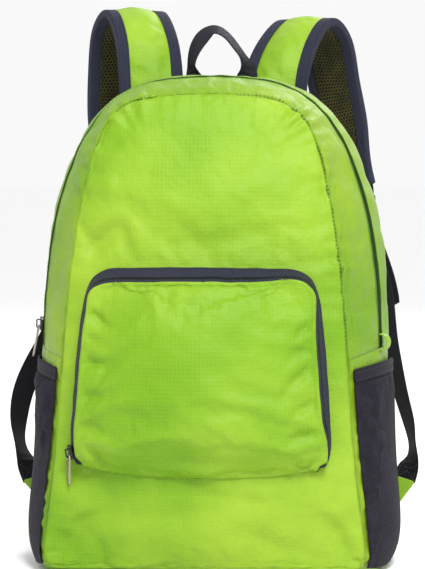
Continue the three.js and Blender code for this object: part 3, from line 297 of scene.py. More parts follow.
# Folds of the stuffed front panel: x and z of a fold's middle, its turn up from level in degrees, and
# its half length, half width and depth.
FRONT_FOLDS = [
    (-0.105, 0.365, 68, 0.05, 0.009, 0.0048),
    (-0.118, 0.315, 80, 0.045, 0.008, 0.0045),
    (-0.092, 0.285, 52, 0.034, 0.008, 0.0039),
    (-0.085, 0.335, 110, 0.03, 0.012, -0.003),
    (0.105, 0.385, 118, 0.03, 0.008, 0.0039),
    (0.118, 0.3, 98, 0.04, 0.008, 0.0033),
    (0.05, 0.415, 172, 0.045, 0.006, 0.003),
    (-0.02, 0.285, 5, 0.05, 0.01, 0.0024),
    (-0.118, 0.03, 48, 0.03, 0.008, 0.0045),
    (-0.1, 0.05, 30, 0.03, 0.007, 0.0036),
    (0.112, 0.035, 135, 0.03, 0.008, 0.0045),
    (0.06, 0.03, 165, 0.04, 0.009, 0.003),
    (-0.03, 0.055, 8, 0.06, 0.01, 0.0027),
    (0.03, 0.07, 176, 0.05, 0.006, 0.0024),
    (-0.126, 0.24, 84, 0.035, 0.005, 0.003),
    (-0.128, 0.165, 95, 0.04, 0.005, 0.0028),
    (-0.104, 0.29, 128, 0.02, 0.006, 0.0032),
    (-0.07, 0.288, 120, 0.018, 0.006, 0.0028),
    (0.128, 0.268, 12, 0.014, 0.005, 0.0028),
    (0.129, 0.245, 20, 0.013, 0.005, 0.0026),
    (0.129, 0.215, 26, 0.014, 0.005, 0.0028),
    (0.13, 0.18, 32, 0.015, 0.005, 0.0028),
    (0.112, 0.33, 20, 0.016, 0.006, 0.0028),
    (0.085, 0.4, 48, 0.018, 0.006, 0.003),
]


# The faces that join a face without crossing a wall of edges
def island_of(face, walls=()):
    found = {face}
    edge = [face]
    while edge:
        for side in edge.pop().edges:
            if side not in walls:
                near = set(side.link_faces) - found
                found |= near
                edge.extend(near)
    return found


def merged_copy(name):
    bm = bmesh.new()
    bm.from_mesh(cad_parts[name].data)
    bmesh.ops.remove_doubles(bm, verts=bm.verts, dist=SAME_POINT)
    return bm


# The outer faces of thin shells in one bmesh, where each face's material index is its node's place
def outer_skin(names, weld):
    skin = bmesh.new()
    for index, name in enumerate(names):
        bm = merged_copy(name)
        rim = [f for f in bm.faces if min(e.calc_length() for e in f.edges) < SHELL_RIM]
        bmesh.ops.delete(bm, geom=rim, context="FACES")
        first = island_of(next(iter(bm.faces)))
        swell = sum(f.calc_area() * f.normal.dot(f.calc_center_median() - BAG_MIDDLE) for f in first)
        inner = [f for f in bm.faces if (f in first) == (swell < 0)]
        bmesh.ops.delete(bm, geom=inner, context="FACES")
        for face in bm.faces:
            face.material_index = index
            face.smooth = True
        mesh = bpy.data.meshes.new("part")
        bm.to_mesh(mesh)
        bm.free()
        skin.from_mesh(mesh)
        bpy.data.meshes.remove(mesh)
    bmesh.ops.remove_doubles(skin, verts=skin.verts, dist=weld)
    bmesh.ops.join_triangles(
        skin,
        faces=skin.faces,
        cmp_materials=True,
        angle_face_threshold=math.pi,
        angle_shape_threshold=math.pi,
    )
    return skin


def object_from(bm, name):
    mesh = bpy.data.meshes.new(name)
    bm.to_mesh(mesh)
    bm.free()
    made = bpy.data.objects.new(name, mesh)
    scene.collection.objects.link(made)
    return made


# Applies what stands in an object's modifier stack
def settle(made):
    graph = bpy.context.evaluated_depsgraph_get()
    mesh = bpy.data.meshes.new_from_object(made.evaluated_get(graph))
    made.modifiers.clear()
    made.data = mesh
    return made


# Smooths and subdivides a piece, and keeps its open corners
def refine(made, levels):
    smoother = made.modifiers.new("refine", "SUBSURF")
    smoother.levels = levels
    smoother.render_levels = levels
    smoother.boundary_smooth = "PRESERVE_CORNERS"
    return settle(made)


# Lets a sheet billow between its pinned points, and caps how far each point moves. With outward, no
# point moves in towards what lies behind the sheet.
def billow(made, pinned, slack, pressure, move, outward=False):
    mesh = made.data
    rest = [v.co.copy() for v in mesh.vertices]
    normals = [v.normal.copy() for v in mesh.vertices]
    starts = [co + normal * START_WAVE * noise.noise(co * 70) for co, normal in zip(rest, normals)]
    for vertex, start in zip(mesh.vertices, starts):
        vertex.co = start
    seams = made.vertex_groups.new(name="seams")
    seams.add(pinned, 1, "REPLACE")
    cloth = made.modifiers.new("cloth", "CLOTH")
    cloth.settings.quality = 4
    cloth.settings.mass = 0.1
    cloth.settings.tension_stiffness = 25
    cloth.settings.compression_stiffness = 25
    cloth.settings.shear_stiffness = 12
    cloth.settings.bending_stiffness = 0.15
    cloth.settings.air_damping = 3
    cloth.settings.vertex_group_mass = "seams"
    cloth.settings.shrink_min = -slack
    cloth.settings.use_pressure = True
    cloth.settings.uniform_pressure_force = pressure
    cloth.settings.effector_weights.gravity = 0
    cloth.collision_settings.use_collision = False
    for number in range(1, SETTLE_FRAMES + 1):
        scene.frame_set(number)
    settle(made)
    scene.frame_set(1)
    made.vertex_groups.clear()
    for vertex, place, normal in zip(made.data.vertices, rest, normals):
        step = vertex.co - place
        if outward:
            step -= normal * min(0, step.dot(normal))
        vertex.co = place + step * min(1, move / max(step.length, 1e-9))
    return made


# The vertices along joined edges, in order
def chain_of(edges):
    links = {}
    for edge in edges:
        for vertex in edge.verts:
            links.setdefault(vertex, []).append(edge)
    ends = [vertex for vertex, own in links.items() if len(own) == 1]
    path = [ends[0] if ends else next(iter(links))]
    used = set()
    while True:
        onward = [edge for edge in links[path[-1]] if edge not in used]
        if not onward:
            return path
        used.add(onward[0])
        path.append(onward[0].other_vert(path[-1]))


# Writes each point's distance from the nearest seam, its place along it and how dark its needle holes and
# painted seam shade show, and puckers the cloth beside the seam, which the stitches hold flat for the
# width that held gives
def sew(bm, chains, deep, sunk, held, shown, keep_still=()):
    stops = []
    for number, path in enumerate(chains):
        along = number * SEAM_SHIFT
        for k, vertex in enumerate(path):
            if k:
                along += (vertex.co - path[k - 1].co).length
            stops.append((vertex.co.copy(), along))
    tree = point_tree([place for place, _ in stops])
    layer = bm.verts.layers.float_vector["seam"]
    bm.normal_update()
    normals = [vertex.normal.copy() for vertex in bm.verts]
    for vertex, normal in zip(bm.verts, normals):
        _, k, away = tree.find(vertex.co)
        along = stops[k][1]
        vertex[layer] = (away, along, shown(stops[k][0], along))
        fade = math.exp(-away / PUCKER_REACH) * (1 - math.exp(-((away / held) ** 2)))
        strength = 0.4 + 1.2 * max(0, noise.noise(Vector((along * 9, 3.1, 0))) + 0.3)
        strength *= 0.75 + 0.7 * vertex[layer].z
        pucker = noise.noise(Vector((along / PUCKER_LENGTH, 7.7, 0)))
        valley = math.exp(-((away / SEAM_WIDTH) ** 2))
        if vertex not in keep_still:
            vertex.co += normal * (deep * strength * pucker * fade * PUCKER_GAIN - sunk * valley)


# How deep the folds lie at a place, each of which sways a little along its length
def fold_at(folds, x, z):
    total = 0
    for fold_x, fold_z, degrees, long, wide, deep in folds:
        turn = math.radians(degrees)
        dx = x - fold_x
        dz = z - fold_z
        along = dx * math.cos(turn) + dz * math.sin(turn)
        over = dz * math.cos(turn) - dx * math.sin(turn)
        over += FOLD_SWAY * wide * math.sin(along / long * 3)
        total += deep * math.exp(-((along / long) ** 2) - (over / wide) ** 2)
    return total


# Gives a piece its one material and its body, and hides the CAD node that it stands for
def dress(made, material, node):
    made.data.materials.clear()
    made.data.materials.append(material)
    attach(made, "root")
    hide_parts(node)


# One part of a skin as an object of its own, with the cloth's thickness behind its face
def cut_part(bm, index, name, material, thickness, node):
    part = bm.copy()
    others = [face for face in part.faces if face.material_index != index]
    bmesh.ops.delete(part, geom=others, context="FACES")
    for face in part.faces:
        face.material_index = 0
    made = object_from(part, name)
    wall = made.modifiers.new("wall", "SOLIDIFY")
    wall.thickness = thickness
    wall.offset = -1
    dress(made, material, node)
    return made


skin = outer_skin(BODY_PARTS, BODY_WELD)
crease = skin.edges.layers.float.new("crease_edge")
for edge in skin.edges:
    kinds = {BODY_PARTS[face.material_index] for face in edge.link_faces}
    if len(kinds) > 1 and kinds & {"front_panel", "back_panel"}:
        edge[crease] = 1
body = refine(object_from(skin, "body"), BODY_LEVELS)

parts_at = [set() for _ in body.data.vertices]
for polygon in body.data.polygons:
    for index in polygon.vertices:
        parts_at[index].add(BODY_PARTS[polygon.material_index])
pocket_low, pocket_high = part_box("pocket_zip")
pinned = []
for vertex, parts in zip(body.data.vertices, parts_at):
    x, y, z = vertex.co
    sewn = len(parts) > 1 or "main_zip" in parts
    behind_pocket = (
        "front_panel" in parts
        and pocket_low.x < x < pocket_high.x
        and pocket_low.z < z < pocket_high.z
    )
    behind_mesh = "lower_gusset" in parts and z < SIDE_POCKET_TOP and abs(x) > SIDE_POCKET_INSIDE
    if sewn or behind_pocket or behind_mesh or z < FLOOR_CLEAR:
        pinned.append(vertex.index)
billow(body, pinned, BODY_SLACK, BODY_PRESSURE, BODY_MOVE)
refine(body, 1)

bm = bmesh.new()
bm.from_mesh(body.data)
cloth = bm.verts.layers.float_vector.new("cloth")
bm.verts.layers.float_vector.new("seam")
across = bm.verts.layers.float.new("across")
bpy.data.objects.remove(body)


# The points in order along the seam between one part and some others
def seam_between(bm, names, first, others):
    edges = []
    for edge in bm.edges:
        kinds = {names[face.material_index] for face in edge.link_faces}
        if first in kinds and kinds & set(others):
            edges.append(edge)
    return chain_of(edges)


def point_tree(points):
    tree = kdtree.KDTree(len(points))
    for k, place in enumerate(points):
        tree.insert(place, k)
    tree.balance()
    return tree


# How far across a band each of its points lies, from 0 at the near path to 1 at the far one
def write_across(band, near, far, layer):
    trees = [point_tree([vertex.co for vertex in path]) for path in (near, far)]
    for vertex in band:
        first, last = (tree.find(vertex.co)[2] for tree in trees)
        vertex[layer] = first / max(first + last, 1e-9)


def points_of(bm, index):
    return {vertex for face in bm.faces if face.material_index == index for vertex in face.verts}


front_seam = seam_between(bm, BODY_PARTS, "front_panel", ["front_gusset", "lower_gusset"])
back_seam = seam_between(bm, BODY_PARTS, "back_panel", ["rear_gusset", "lower_gusset"])
zip_edges = [
    seam_between(bm, BODY_PARTS, "main_zip", [gusset]) for gusset in ("front_gusset", "rear_gusset")
]
write_across(points_of(bm, BODY_PARTS.index("main_zip")), *zip_edges, across)
body_seams = [front_seam, back_seam]
crest = point_tree([vertex.co for vertex in back_seam])
crest_along = [0]
for before, vertex in zip(back_seam, back_seam[1:]):
    crest_along.append(crest_along[-1] + (vertex.co - before.co).length)
for vertex in bm.verts:
    kinds = {BODY_PARTS[face.material_index] for face in vertex.link_faces}
    if kinds & {"front_panel", "back_panel"}:
        vertex[cloth] = (vertex.co.x, vertex.co.z, 0)
    else:
        _, k, _ = crest.find(vertex.co)
        vertex[cloth] = (vertex.co.y, crest_along[k], 0)
bm.normal_update()
for vertex in bm.verts:
    kinds = {BODY_PARTS[face.material_index] for face in vertex.link_faces}
    if kinds == {"front_panel"}:
        vertex.co.y += fold_at(FRONT_FOLDS, vertex.co.x, vertex.co.z)
    if kinds == {"main_zip"}:
        off = abs(vertex[across] - 0.5)
        lips = ZIP_LIP * math.exp(-(((off - 0.33) / 0.1) ** 2))
        vertex.co += vertex.normal * (lips - ZIP_SUNK * math.exp(-((off / 0.2) ** 2)))
floor_points = {vertex for vertex in bm.verts if vertex.co.z < FLOOR_HOLD}


HOLES_RIGHT = 0.06
HOLES_RIGHT_UP = 0.19
HOLES_TOP = 0.385
HOLES_BASE = 0.03


# The needle holes and the painted shade of the seam valley show most down the right of the front seam,
# and here and there over its top
def body_holes_and_seam_shade(place, along):
    front = place.y < 0
    right = place.x > HOLES_RIGHT and place.z > HOLES_RIGHT_UP
    top = place.z > HOLES_TOP
    patchy = max(0, min(1, 0.5 + 2.5 * noise.noise(Vector((along * 28, 1.3, 0)))))
    if front and right:
        return 0.55 + 0.4 * patchy
    if front and top:
        return 0.75 * patchy
    if place.z < HOLES_BASE:
        return 0
    return 0.12 if front else 0.3


sew(bm, body_seams, PUCKER_DEEP, SEAM_DEEP, SEAM_WIDTH, body_holes_and_seam_shade, floor_points)
for vertex in bm.verts:
    vertex.co.z = max(vertex.co.z, 0)


# A zip's woven tape, with its coil of teeth in a groove a share of the way across. The groove is painted
# in the coil's dark colour, which in the main zip is partly painted shade, and the teeth's crests get
# painted highlights.
def zip_tape(name, tape, coil, middle, half):
    made, tree, shader = new_material(name, Roughness=0.62, Specular_IOR_Level=0.16)
    over = add_node(tree, "Attribute", {"attribute_name": "across"}).outputs["Fac"]
    seam = add_node(tree, "Attribute", {"attribute_name": "seam"}).outputs["Vector"]
    along = add_node(tree, "SeparateXYZ", i0=seam).outputs[1]
    off = add_math(tree, "ABSOLUTE", add_math(tree, "SUBTRACT", over, middle))
    near = add_node(tree, "MapRange", Value=off, From_Min=half * 0.75, From_Max=half)
    groove = add_math(tree, "SUBTRACT", 1.0, near.outputs[0])
    turns = add_math(tree, "MULTIPLY", along, 2 * math.pi / TOOTH_PITCH)
    teeth = add_math(tree, "MULTIPLY", add_math(tree, "SINE", turns), groove)
    slant = add_math(tree, "ADD", along, add_math(tree, "MULTIPLY", over, 0.01))
    ribs = add_math(tree, "SINE", add_math(tree, "MULTIPLY", slant, 2 * math.pi / TAPE_RIB))
    place = add_node(tree, "TexCoord").outputs["Object"]
    speckle = add_node(tree, "TexNoise", Vector=place, Scale=600.0, Detail=2.0).outputs["Fac"]
    woven = mixed(tree, speckle, tape, tuple(min(1, part * 1.8 + 0.004) for part in tape))
    # painted highlight: each tooth's crest is painted towards the tape's lighter colour
    painted_tooth_highlight = add_node(tree, "MapRange", Value=teeth, From_Min=0.2, To_Max=0.6).outputs[0]
    toothed = mixed(tree, painted_tooth_highlight, coil, tape)
    tree.links.new(mixed(tree, groove, woven, toothed), shader.inputs["Base Color"])
    bumped(tree, shader, [(groove, -0.0004), (teeth, 0.0002), (ribs, 0.00006), (speckle, 0.0001)])
    return made


# Stitches of twisted thread, a fixed pitch apart along a path, each lying on the nearest cloth
STITCH_PITCH = 0.0036
STITCH_LONG = 0.75  # share of the pitch that a stitch shows of itself
THREAD_WIDE = 0.0006
THREAD_LIFT = 0.15  # share of its width that a stitch stands off the cloth
LIME_THREAD = (0.3, 0.46, 0.05, 1)


# Twisted thread, with painted shade in its hollows
def thread_finish(name, colour):
    made, tree, shader = new_material(name, Roughness=0.5, Specular_IOR_Level=0.3)
    place = add_node(tree, "TexCoord").outputs["Object"]
    fuzz = add_node(tree, "TexNoise", Vector=place, Scale=1500.0, Detail=2.0).outputs["Fac"]
    # painted shade: the low parts of the fuzz bump take this darker copy of the thread's colour
    painted_hollow_shade = tuple(part * 0.55 for part in colour)
    tree.links.new(mixed(tree, fuzz, painted_hollow_shade, colour), shader.inputs["Base Color"])
    bumped(tree, shader, [(fuzz, 0.0001)])
    return made


def surface_of(objects):
    bm = bmesh.new()
    for made in objects:
        bm.from_mesh(made.data)
    tree = BVHTree.FromBMesh(bm)
    bm.free()
    return tree


def stitch_rows(name, material, cloths, paths, pitch=STITCH_PITCH):
    surface = surface_of(cloths)
    bm = bmesh.new()
    for path in paths:
        gone = 0
        for start, end in zip(path, path[1:]):
            step = end - start
            while step.length > 0 and gone < step.length:
                place, normal, _, _ = surface.find_nearest(start + step * (gone / step.length))
                turn = step.cross(normal)
                if turn.length > 0:
                    turn.normalize()
                    ahead = normal.cross(turn).normalized()
                    frame_of = Matrix((ahead, turn, normal)).transposed().to_4x4()
                    size = Matrix.Diagonal((pitch * STITCH_LONG / 2, THREAD_WIDE / 2, THREAD_WIDE / 2, 1))
                    lifted = Matrix.Translation(place + normal * THREAD_WIDE * THREAD_LIFT)
                    bmesh.ops.create_uvsphere(
                        bm, u_segments=6, v_segments=4, radius=1, matrix=lifted @ frame_of @ size
                    )
                gone += pitch
            gone -= step.length
    bmesh.ops.recalc_face_normals(bm, faces=bm.faces)
    for face in bm.faces:
        face.smooth = True
    made = object_from(bm, name)
    made.data.materials.append(material)
    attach(made, "root")


# A path shifted away from another one that runs beside it
def beside(path, other, shift):
    tree = point_tree(other)
    moved = []
    for place in path:
        nearest = tree.find(place)[0]
        moved.append(place + (place - nearest).normalized() * shift)
    return moved


zip_material = zip_tape("sunken_zip", ZIP_TAPE, ZIP_COIL_AND_GROOVE_SHADE, 0.5, 0.38)
body_cloths = {}
for index, name in enumerate(BODY_PARTS):
    # the gussets take the nylon with painted shade
    material = painted_shade_gusset_ripstop if "gusset" in name else sewn_ripstop
    if name == "main_zip":
        material = zip_material
    part = cut_part(bm, index, name + "_cloth", material, CLOTH, name)
    body_cloths[name] = part
zip_paths = [[vertex.co.copy() for vertex in path] for path in zip_edges]
zip_rows = [
    beside(zip_paths[0], zip_paths[1], ZIP_ROW_OFF),
    beside(zip_paths[1], zip_paths[0], ZIP_ROW_OFF),
]
bm.free()
lime_thread = thread_finish("lime_thread", LIME_THREAD)
gussets = [body_cloths["front_gusset"], body_cloths["rear_gusset"]]
stitch_rows("zip_stitching", lime_thread, gussets, zip_rows)

# The front pocket, that the whole bag packs into: a puffed panel of ripstop on a wall that is the zip's
# own navy tape. The zip is sewn close to the panel's edge, so the cloth fans out from it in short folds.
POCKET_PARTS = ["front_pocket", "pocket_zip"]
POCKET_LEVELS = 3
POCKET_EDGE_CREASE = 0.75
POCKET_SLACK = 0.015
POCKET_PRESSURE = 0.5
POCKET_MOVE = 0.005
POCKET_PUCKER = 0.0012
POCKET_HELD = 0.006
NAVY = (0.013, 0.012, 0.027, 1)
FOOT_LIP = 0.0042  # the stuffed panel bulges over its foot seam by this much, in waves
FOOT_LIP_AT = 0.012
FOOT_LIP_WIDE = 0.0075
FOOT_WAVE = 0.028
NAVY_THREAD = (0.04, 0.042, 0.075, 1)
TAPE_ROW_IN = 0.0018
COIL = (0.004, 0.004, 0.007, 1)
COIL_AT = 0.74  # share of the tape's width from the front panel to the pocket's face
COIL_HALF = 0.1
TAPE_WALL = 0.0007
EDGE_LIP = 0.0007  # the panel's folded edge stands this proud of the tape
EDGE_LIP_AT = 0.0018
EDGE_LIP_WIDE = 0.0016
# Where the stuffed panel leans out over its zip, so that less of the tape shows there. Each row is a
# place in x and z, its reach, and how far out the panel's edge comes.
LEANS = [
    (0.098, 0.262, 0.032, 0.0085),
    (-0.1, 0.26, 0.014, 0.003),
    (0.11, 0.108, 0.024, 0.0056),
    (-0.105, 0.12, 0.02, 0.0015),
]
LEAN_FADE = 0.024
POCKET_FOLDS = [
    (-0.09, 0.222, -28, 0.015, 0.004, 0.0057),
    (-0.094, 0.205, -8, 0.012, 0.004, 0.0045),
    (-0.092, 0.185, 6, 0.016, 0.005, 0.0057),
    (-0.09, 0.157, 18, 0.016, 0.005, 0.0051),
    (-0.092, 0.13, -12, 0.013, 0.005, 0.0045),
    (-0.088, 0.106, -38, 0.015, 0.005, 0.0057),
    (0.088, 0.218, 44, 0.014, 0.004, 0.0051),
    (0.083, 0.197, 38, 0.014, 0.005, 0.0051),
    (0.082, 0.176, 50, 0.02, 0.005, 0.006),
    (0.087, 0.15, 40, 0.016, 0.005, 0.0057),
    (0.086, 0.125, 20, 0.016, 0.005, 0.0045),
    (0.09, 0.104, 35, 0.015, 0.005, 0.006),
    (-0.05, 0.1, 12, 0.03, 0.006, 0.0057),
    (0.0, 0.105, -8, 0.03, 0.006, 0.0045),
    (0.045, 0.1, 10, 0.03, 0.006, 0.0051),
    (-0.03, 0.24, 95, 0.012, 0.006, 0.00315),
]


def open_points(mesh):
    uses = {}
    for polygon in mesh.polygons:
        for key in polygon.edge_keys:
            uses[key] = uses.get(key, 0) + 1
    return {index for key, count in uses.items() if count == 1 for index in key}


def open_edges(bm, index):
    return [edge for edge in bm.edges if edge.is_boundary and edge.link_faces[0].material_index == index]


skin = outer_skin(POCKET_PARTS, BODY_WELD)
crease = skin.edges.layers.float.new("crease_edge")
for edge in skin.edges:
    if len({face.material_index for face in edge.link_faces}) > 1:
        edge[crease] = POCKET_EDGE_CREASE
pocket = refine(object_from(skin, "pocket"), POCKET_LEVELS)
pinned = open_points(pocket.data)
for polygon in pocket.data.polygons:
    if POCKET_PARTS[polygon.material_index] == "pocket_zip":
        pinned.update(polygon.vertices)
billow(pocket, sorted(pinned), POCKET_SLACK, POCKET_PRESSURE, POCKET_MOVE)
bm = bmesh.new()
bm.from_mesh(pocket.data)
cloth = bm.verts.layers.float_vector.new("cloth")
seam = bm.verts.layers.float_vector.new("seam")
across = bm.verts.layers.float.new("across")
bpy.data.objects.remove(pocket)
pocket_edge = seam_between(bm, POCKET_PARTS, "front_pocket", ["pocket_zip"])
pocket_foot = chain_of(open_edges(bm, POCKET_PARTS.index("front_pocket")))
tape_foot = chain_of(open_edges(bm, POCKET_PARTS.index("pocket_zip")))
tape_points = points_of(bm, POCKET_PARTS.index("pocket_zip"))
write_across(tape_points, tape_foot, pocket_edge, across)
edge_tree = point_tree([vertex.co.copy() for vertex in pocket_edge])
foot_tree = point_tree([vertex.co.copy() for vertex in tape_foot])
for vertex in bm.verts:
    vertex[cloth] = (vertex.co.x, vertex.co.z, 0)
    edge, _, away = edge_tree.find(vertex.co)
    side = foot_tree.find(edge)[0] - edge
    side.y = 0
    lean = 0
    for x, z, reach, out in LEANS:
        lean += out * math.exp(-(((edge.x - x) ** 2 + (edge.z - z) ** 2) / reach**2))
    if vertex in tape_points:
        vertex.co += side.normalized() * lean * vertex[across]
    else:
        vertex.co += side.normalized() * lean * math.exp(-((away / LEAN_FADE) ** 2))
        free = 1 - math.exp(-((away / POCKET_HELD) ** 2))
        vertex.co.y += free * fold_at(POCKET_FOLDS, vertex.co.x, vertex.co.z)


# Its needle holes and painted seam shade hardly show
def pocket_holes_and_seam_shade(place, along):
    return 0.1


# The pocket's edge is held up by the zip, and its foot is drawn in under the stuffed panel
sew(bm, [pocket_edge], POCKET_PUCKER, 0, POCKET_HELD, pocket_holes_and_seam_shade, tape_points)
foot_points = point_tree([vertex.co.copy() for vertex in pocket_foot])
bm.normal_update()
normals = [vertex.normal.copy() for vertex in bm.verts]
for vertex, normal in zip(bm.verts, normals):
    if vertex not in tape_points:
        away = foot_points.find(vertex.co)[2]
        lip = math.exp(-(((away - FOOT_LIP_AT) / FOOT_LIP_WIDE) ** 2))
        wave = 0.75 + 0.7 * noise.noise(Vector((vertex.co.x / FOOT_WAVE, 5.5, 0)))
        vertex.co += (normal * 0.6 + Vector((0, 0, -0.4))) * FOOT_LIP * lip * wave
        away = vertex[seam].x
        vertex.co += normal * EDGE_LIP * math.exp(-(((away - EDGE_LIP_AT) / EDGE_LIP_WIDE) ** 2))
tape_paths = [[vertex.co.copy() for vertex in path] for path in (tape_foot, pocket_edge)]
tape_rows = [beside(tape_paths[0], tape_paths[1], -TAPE_ROW_IN)]
foot_rows = [[vertex.co.copy() for vertex in pocket_foot]]
tape_material = zip_tape("navy_zip_tape", NAVY, COIL, COIL_AT, COIL_HALF)
pocket_cloths = []
for index, name in enumerate(POCKET_PARTS):
    material = sewn_ripstop if name == "front_pocket" else tape_material
    wall = CLOTH if name == "front_pocket" else TAPE_WALL
    part = cut_part(bm, index, name + "_cloth", material, wall, name)
    pocket_cloths.append(part)
bm.free()
navy_thread = thread_finish("navy_thread", NAVY_THREAD)
stitch_rows("pocket_tape_stitching", navy_thread, pocket_cloths, tape_rows)
stitch_rows("pocket_foot_stitching", lime_thread, [body_cloths["front_panel"]], foot_rows)

# The side pockets: fine knitted mesh, gathered at the top into a bound elastic hem. The mesh is sewn
# into the body's front and back seams, and hangs a little away from the gusset.
MESH_THREAD = (0.014, 0.012, 0.02, 1)
MESH_HOLE = (0.003, 0.003, 0.005, 1)
MESH_PITCH = 0.0023
MESH_WALL = 0.0008
SIDE_SLACK = 0.03
SIDE_PRESSURE = 0.35
SIDE_MOVE = 0.003
SIDE_REACH = 0.166  # how far out from the bag's middle the mesh lies
GATHER = 0.0011
GATHER_WIDE = 0.006
GATHER_DROP = 0.045  # the gathers run out this far below the hem
RIM_HELD = 0.008
HEM_ROWS = (-0.003, 0.003)
HEM_OUT = 0.004
# painted shade and painted highlight: a dark and a light copy of one colour, for the tape's hollows and
# its raised ribs
HEM_DARK = (0.007, 0.006, 0.011, 1)
HEM_LIGHT = (0.022, 0.02, 0.032, 1)
HEM_PITCH = 0.0016


# Distance in metres from the nearest point of a triangular pattern over two coordinates
def dot_distance(tree, coordinates, pitch):
    parts = add_node(tree, "SeparateXYZ", i0=coordinates)
    sizes = (pitch, pitch * math.sqrt(3))
    found = []
    for shift in (0.0, 0.5):
        squares = []
        for axis, size in enumerate(sizes):
            cells = add_math(tree, "ADD", add_math(tree, "DIVIDE", parts.outputs[axis], size), shift)
            off = add_math(tree, "SUBTRACT", add_math(tree, "FRACT", cells), 0.5)
            squares.append(add_math(tree, "POWER", add_math(tree, "MULTIPLY", off, size), 2.0))
        found.append(add_math(tree, "SQRT", add_math(tree, "ADD", *squares)))
    return add_math(tree, "MINIMUM", *found)


# Knitted mesh, whose holes are a share of the pitch wide and lie deeper than its threads. Broad patches
# of its threads are painted paler as painted highlights.
def knitted_mesh(name, thread, hole, pitch, hole_share, relief):
    made, tree, shader = new_material(name, Roughness=0.75, Specular_IOR_Level=0.14)
    cloth = add_node(tree, "Attribute", {"attribute_name": "cloth"}).outputs["Vector"]
    away = dot_distance(tree, cloth, pitch)
    edge = pitch * hole_share
    solid = add_node(tree, "MapRange", Value=away, From_Min=edge * 0.6, From_Max=edge).outputs[0]
    place = add_node(tree, "TexCoord").outputs["Object"]
    broad = add_node(tree, "TexNoise", Vector=place, Scale=90.0, Detail=4.0).outputs["Fac"]
    fuzz = add_node(tree, "TexNoise", Vector=place, Scale=1400.0, Detail=2.0).outputs["Fac"]
    # painted highlight: broad patches of the threads are painted up to 1.8 times paler
    painted_highlight_speckle = add_node(tree, "MapRange", Value=broad, From_Min=0.35, From_Max=0.7).outputs[0]
    threads = mixed(tree, painted_highlight_speckle, thread, tuple(min(1, part * 1.8) for part in thread))
    tree.links.new(mixed(tree, solid, hole, threads), shader.inputs["Base Color"])
    bumped(tree, shader, [(solid, relief), (fuzz, 0.00008)])
    return made


# Narrow woven tape: ribs of thread that lean one way and then the other across its width. Its colour is
# painted by height, as painted shade in the hollows and painted highlight on the ribs.
def woven_tape(name, dark, light, pitch, rib):
    made, tree, shader = new_material(name, Roughness=0.66, Specular_IOR_Level=0.16)
    cloth = add_node(tree, "Attribute", {"attribute_name": "cloth"}).outputs["Vector"]
    parts = add_node(tree, "SeparateXYZ", i0=cloth)
    column = add_math(tree, "FRACT", add_math(tree, "DIVIDE", parts.outputs[0], rib))
    lean = add_math(tree, "ABSOLUTE", add_math(tree, "SUBTRACT", column, 0.5))
    slant = add_math(tree, "ADD", parts.outputs[1], add_math(tree, "MULTIPLY", lean, rib * 2))
    wave = add_math(tree, "SINE", add_math(tree, "MULTIPLY", slant, 2 * math.pi / pitch))
    ridge = add_node(tree, "MapRange", Value=lean, From_Max=0.12).outputs[0]
    height = add_math(tree, "MULTIPLY", add_math(tree, "ADD", wave, 1.2), ridge)
    place = add_node(tree, "TexCoord").outputs["Object"]
    fuzz = add_node(tree, "TexNoise", Vector=place, Scale=900.0, Detail=3.0).outputs["Fac"]
    broad = add_node(tree, "TexNoise", Vector=place, Scale=22.0, Detail=2.0).outputs["Fac"]
    # painted highlight and painted shade: the colour runs from the dark copy in the weave's hollows to
    # the light copy on its raised ribs
    painted_crest_highlight = add_node(tree, "MapRange", Value=height, From_Max=2.2).outputs[0]
    share = add_math(tree, "MULTIPLY", painted_crest_highlight, add_math(tree, "ADD", fuzz, 0.15))
    pale = mixed(tree, broad, light, tuple(part * 0.7 for part in light))
    tree.links.new(mixed(tree, share, dark, pale), shader.inputs["Base Color"])
    bumped(tree, shader, [(height, 0.00012), (fuzz, 0.0001)])
    return made


# How far round the bag's side a point lies, from the middle of the depth
def round_side(place):
    return place.y - (SIDE_REACH - abs(place.x)) * math.tanh(-place.y / 0.03)


RIBBON_SHARP = math.radians(50)
RIBBON_BEND = math.radians(40)


# A strip of cloth as a merged copy of its CAD node, with its rows of points from one end to the other.
# Each point's place across and along the strip is kept for the weave.
def ribbon(name, made_name, levels, edge_crease, material):
    bm = merged_copy(name)
    bmesh.ops.join_triangles(
        bm,
        faces=bm.faces,
        cmp_materials=False,
        angle_face_threshold=RIBBON_BEND,
        angle_shape_threshold=math.pi,
    )
    crease = bm.edges.layers.float.new("crease_edge")
    cloth = bm.verts.layers.float_vector.new("cloth")
    bm.normal_update()
    sharp = {edge for edge in bm.edges if edge.calc_face_angle(0) > RIBBON_SHARP}
    placed = set()
    patches = []
    for face in bm.faces:
        if face not in placed:
            patch = island_of(face, sharp)
            placed |= patch
            patches.append((sum(sorted(part.calc_area() for part in patch)), len(patches), patch))
    patches.sort()
    ends = [patch for _, _, patch in patches[:2]]
    row = {vertex for face in ends[0] for vertex in face.verts}
    rows = []
    seen = set()
    while row:
        rows.append(row)
        seen |= row
        row = {edge.other_vert(vertex) for vertex in row for edge in vertex.link_edges} - seen
    row_of = {vertex: k for k, points in enumerate(rows) for vertex in points}
    end_edges = {edge for patch in ends for face in patch for edge in face.edges}
    for edge in bm.edges:
        first, last = (row_of[vertex] for vertex in edge.verts)
        if edge.calc_face_angle(0) > RIBBON_SHARP and (first != last or edge in end_edges):
            edge[crease] = edge_crease
    frames = []
    along = 0
    for row in rows:
        points = sorted(row, key=lambda vertex: vertex.index)
        middle = sum((vertex.co for vertex in points), Vector()) / len(points)
        width = max((vertex.co - middle for vertex in points), key=lambda off: off.length).normalized()
        if frames:
            along += (middle - frames[-1][0]).length
            if width.dot(frames[-1][1]) < 0:
                width = -width
        frames.append((middle, width, along))
        for vertex in points:
            vertex[cloth] = ((vertex.co - middle).dot(width), along, 0)
    for face in bm.faces:
        face.smooth = True
        face.material_index = 0
    made = refine(object_from(bm, made_name), levels)
    dress(made, material, name)
    return made, frames


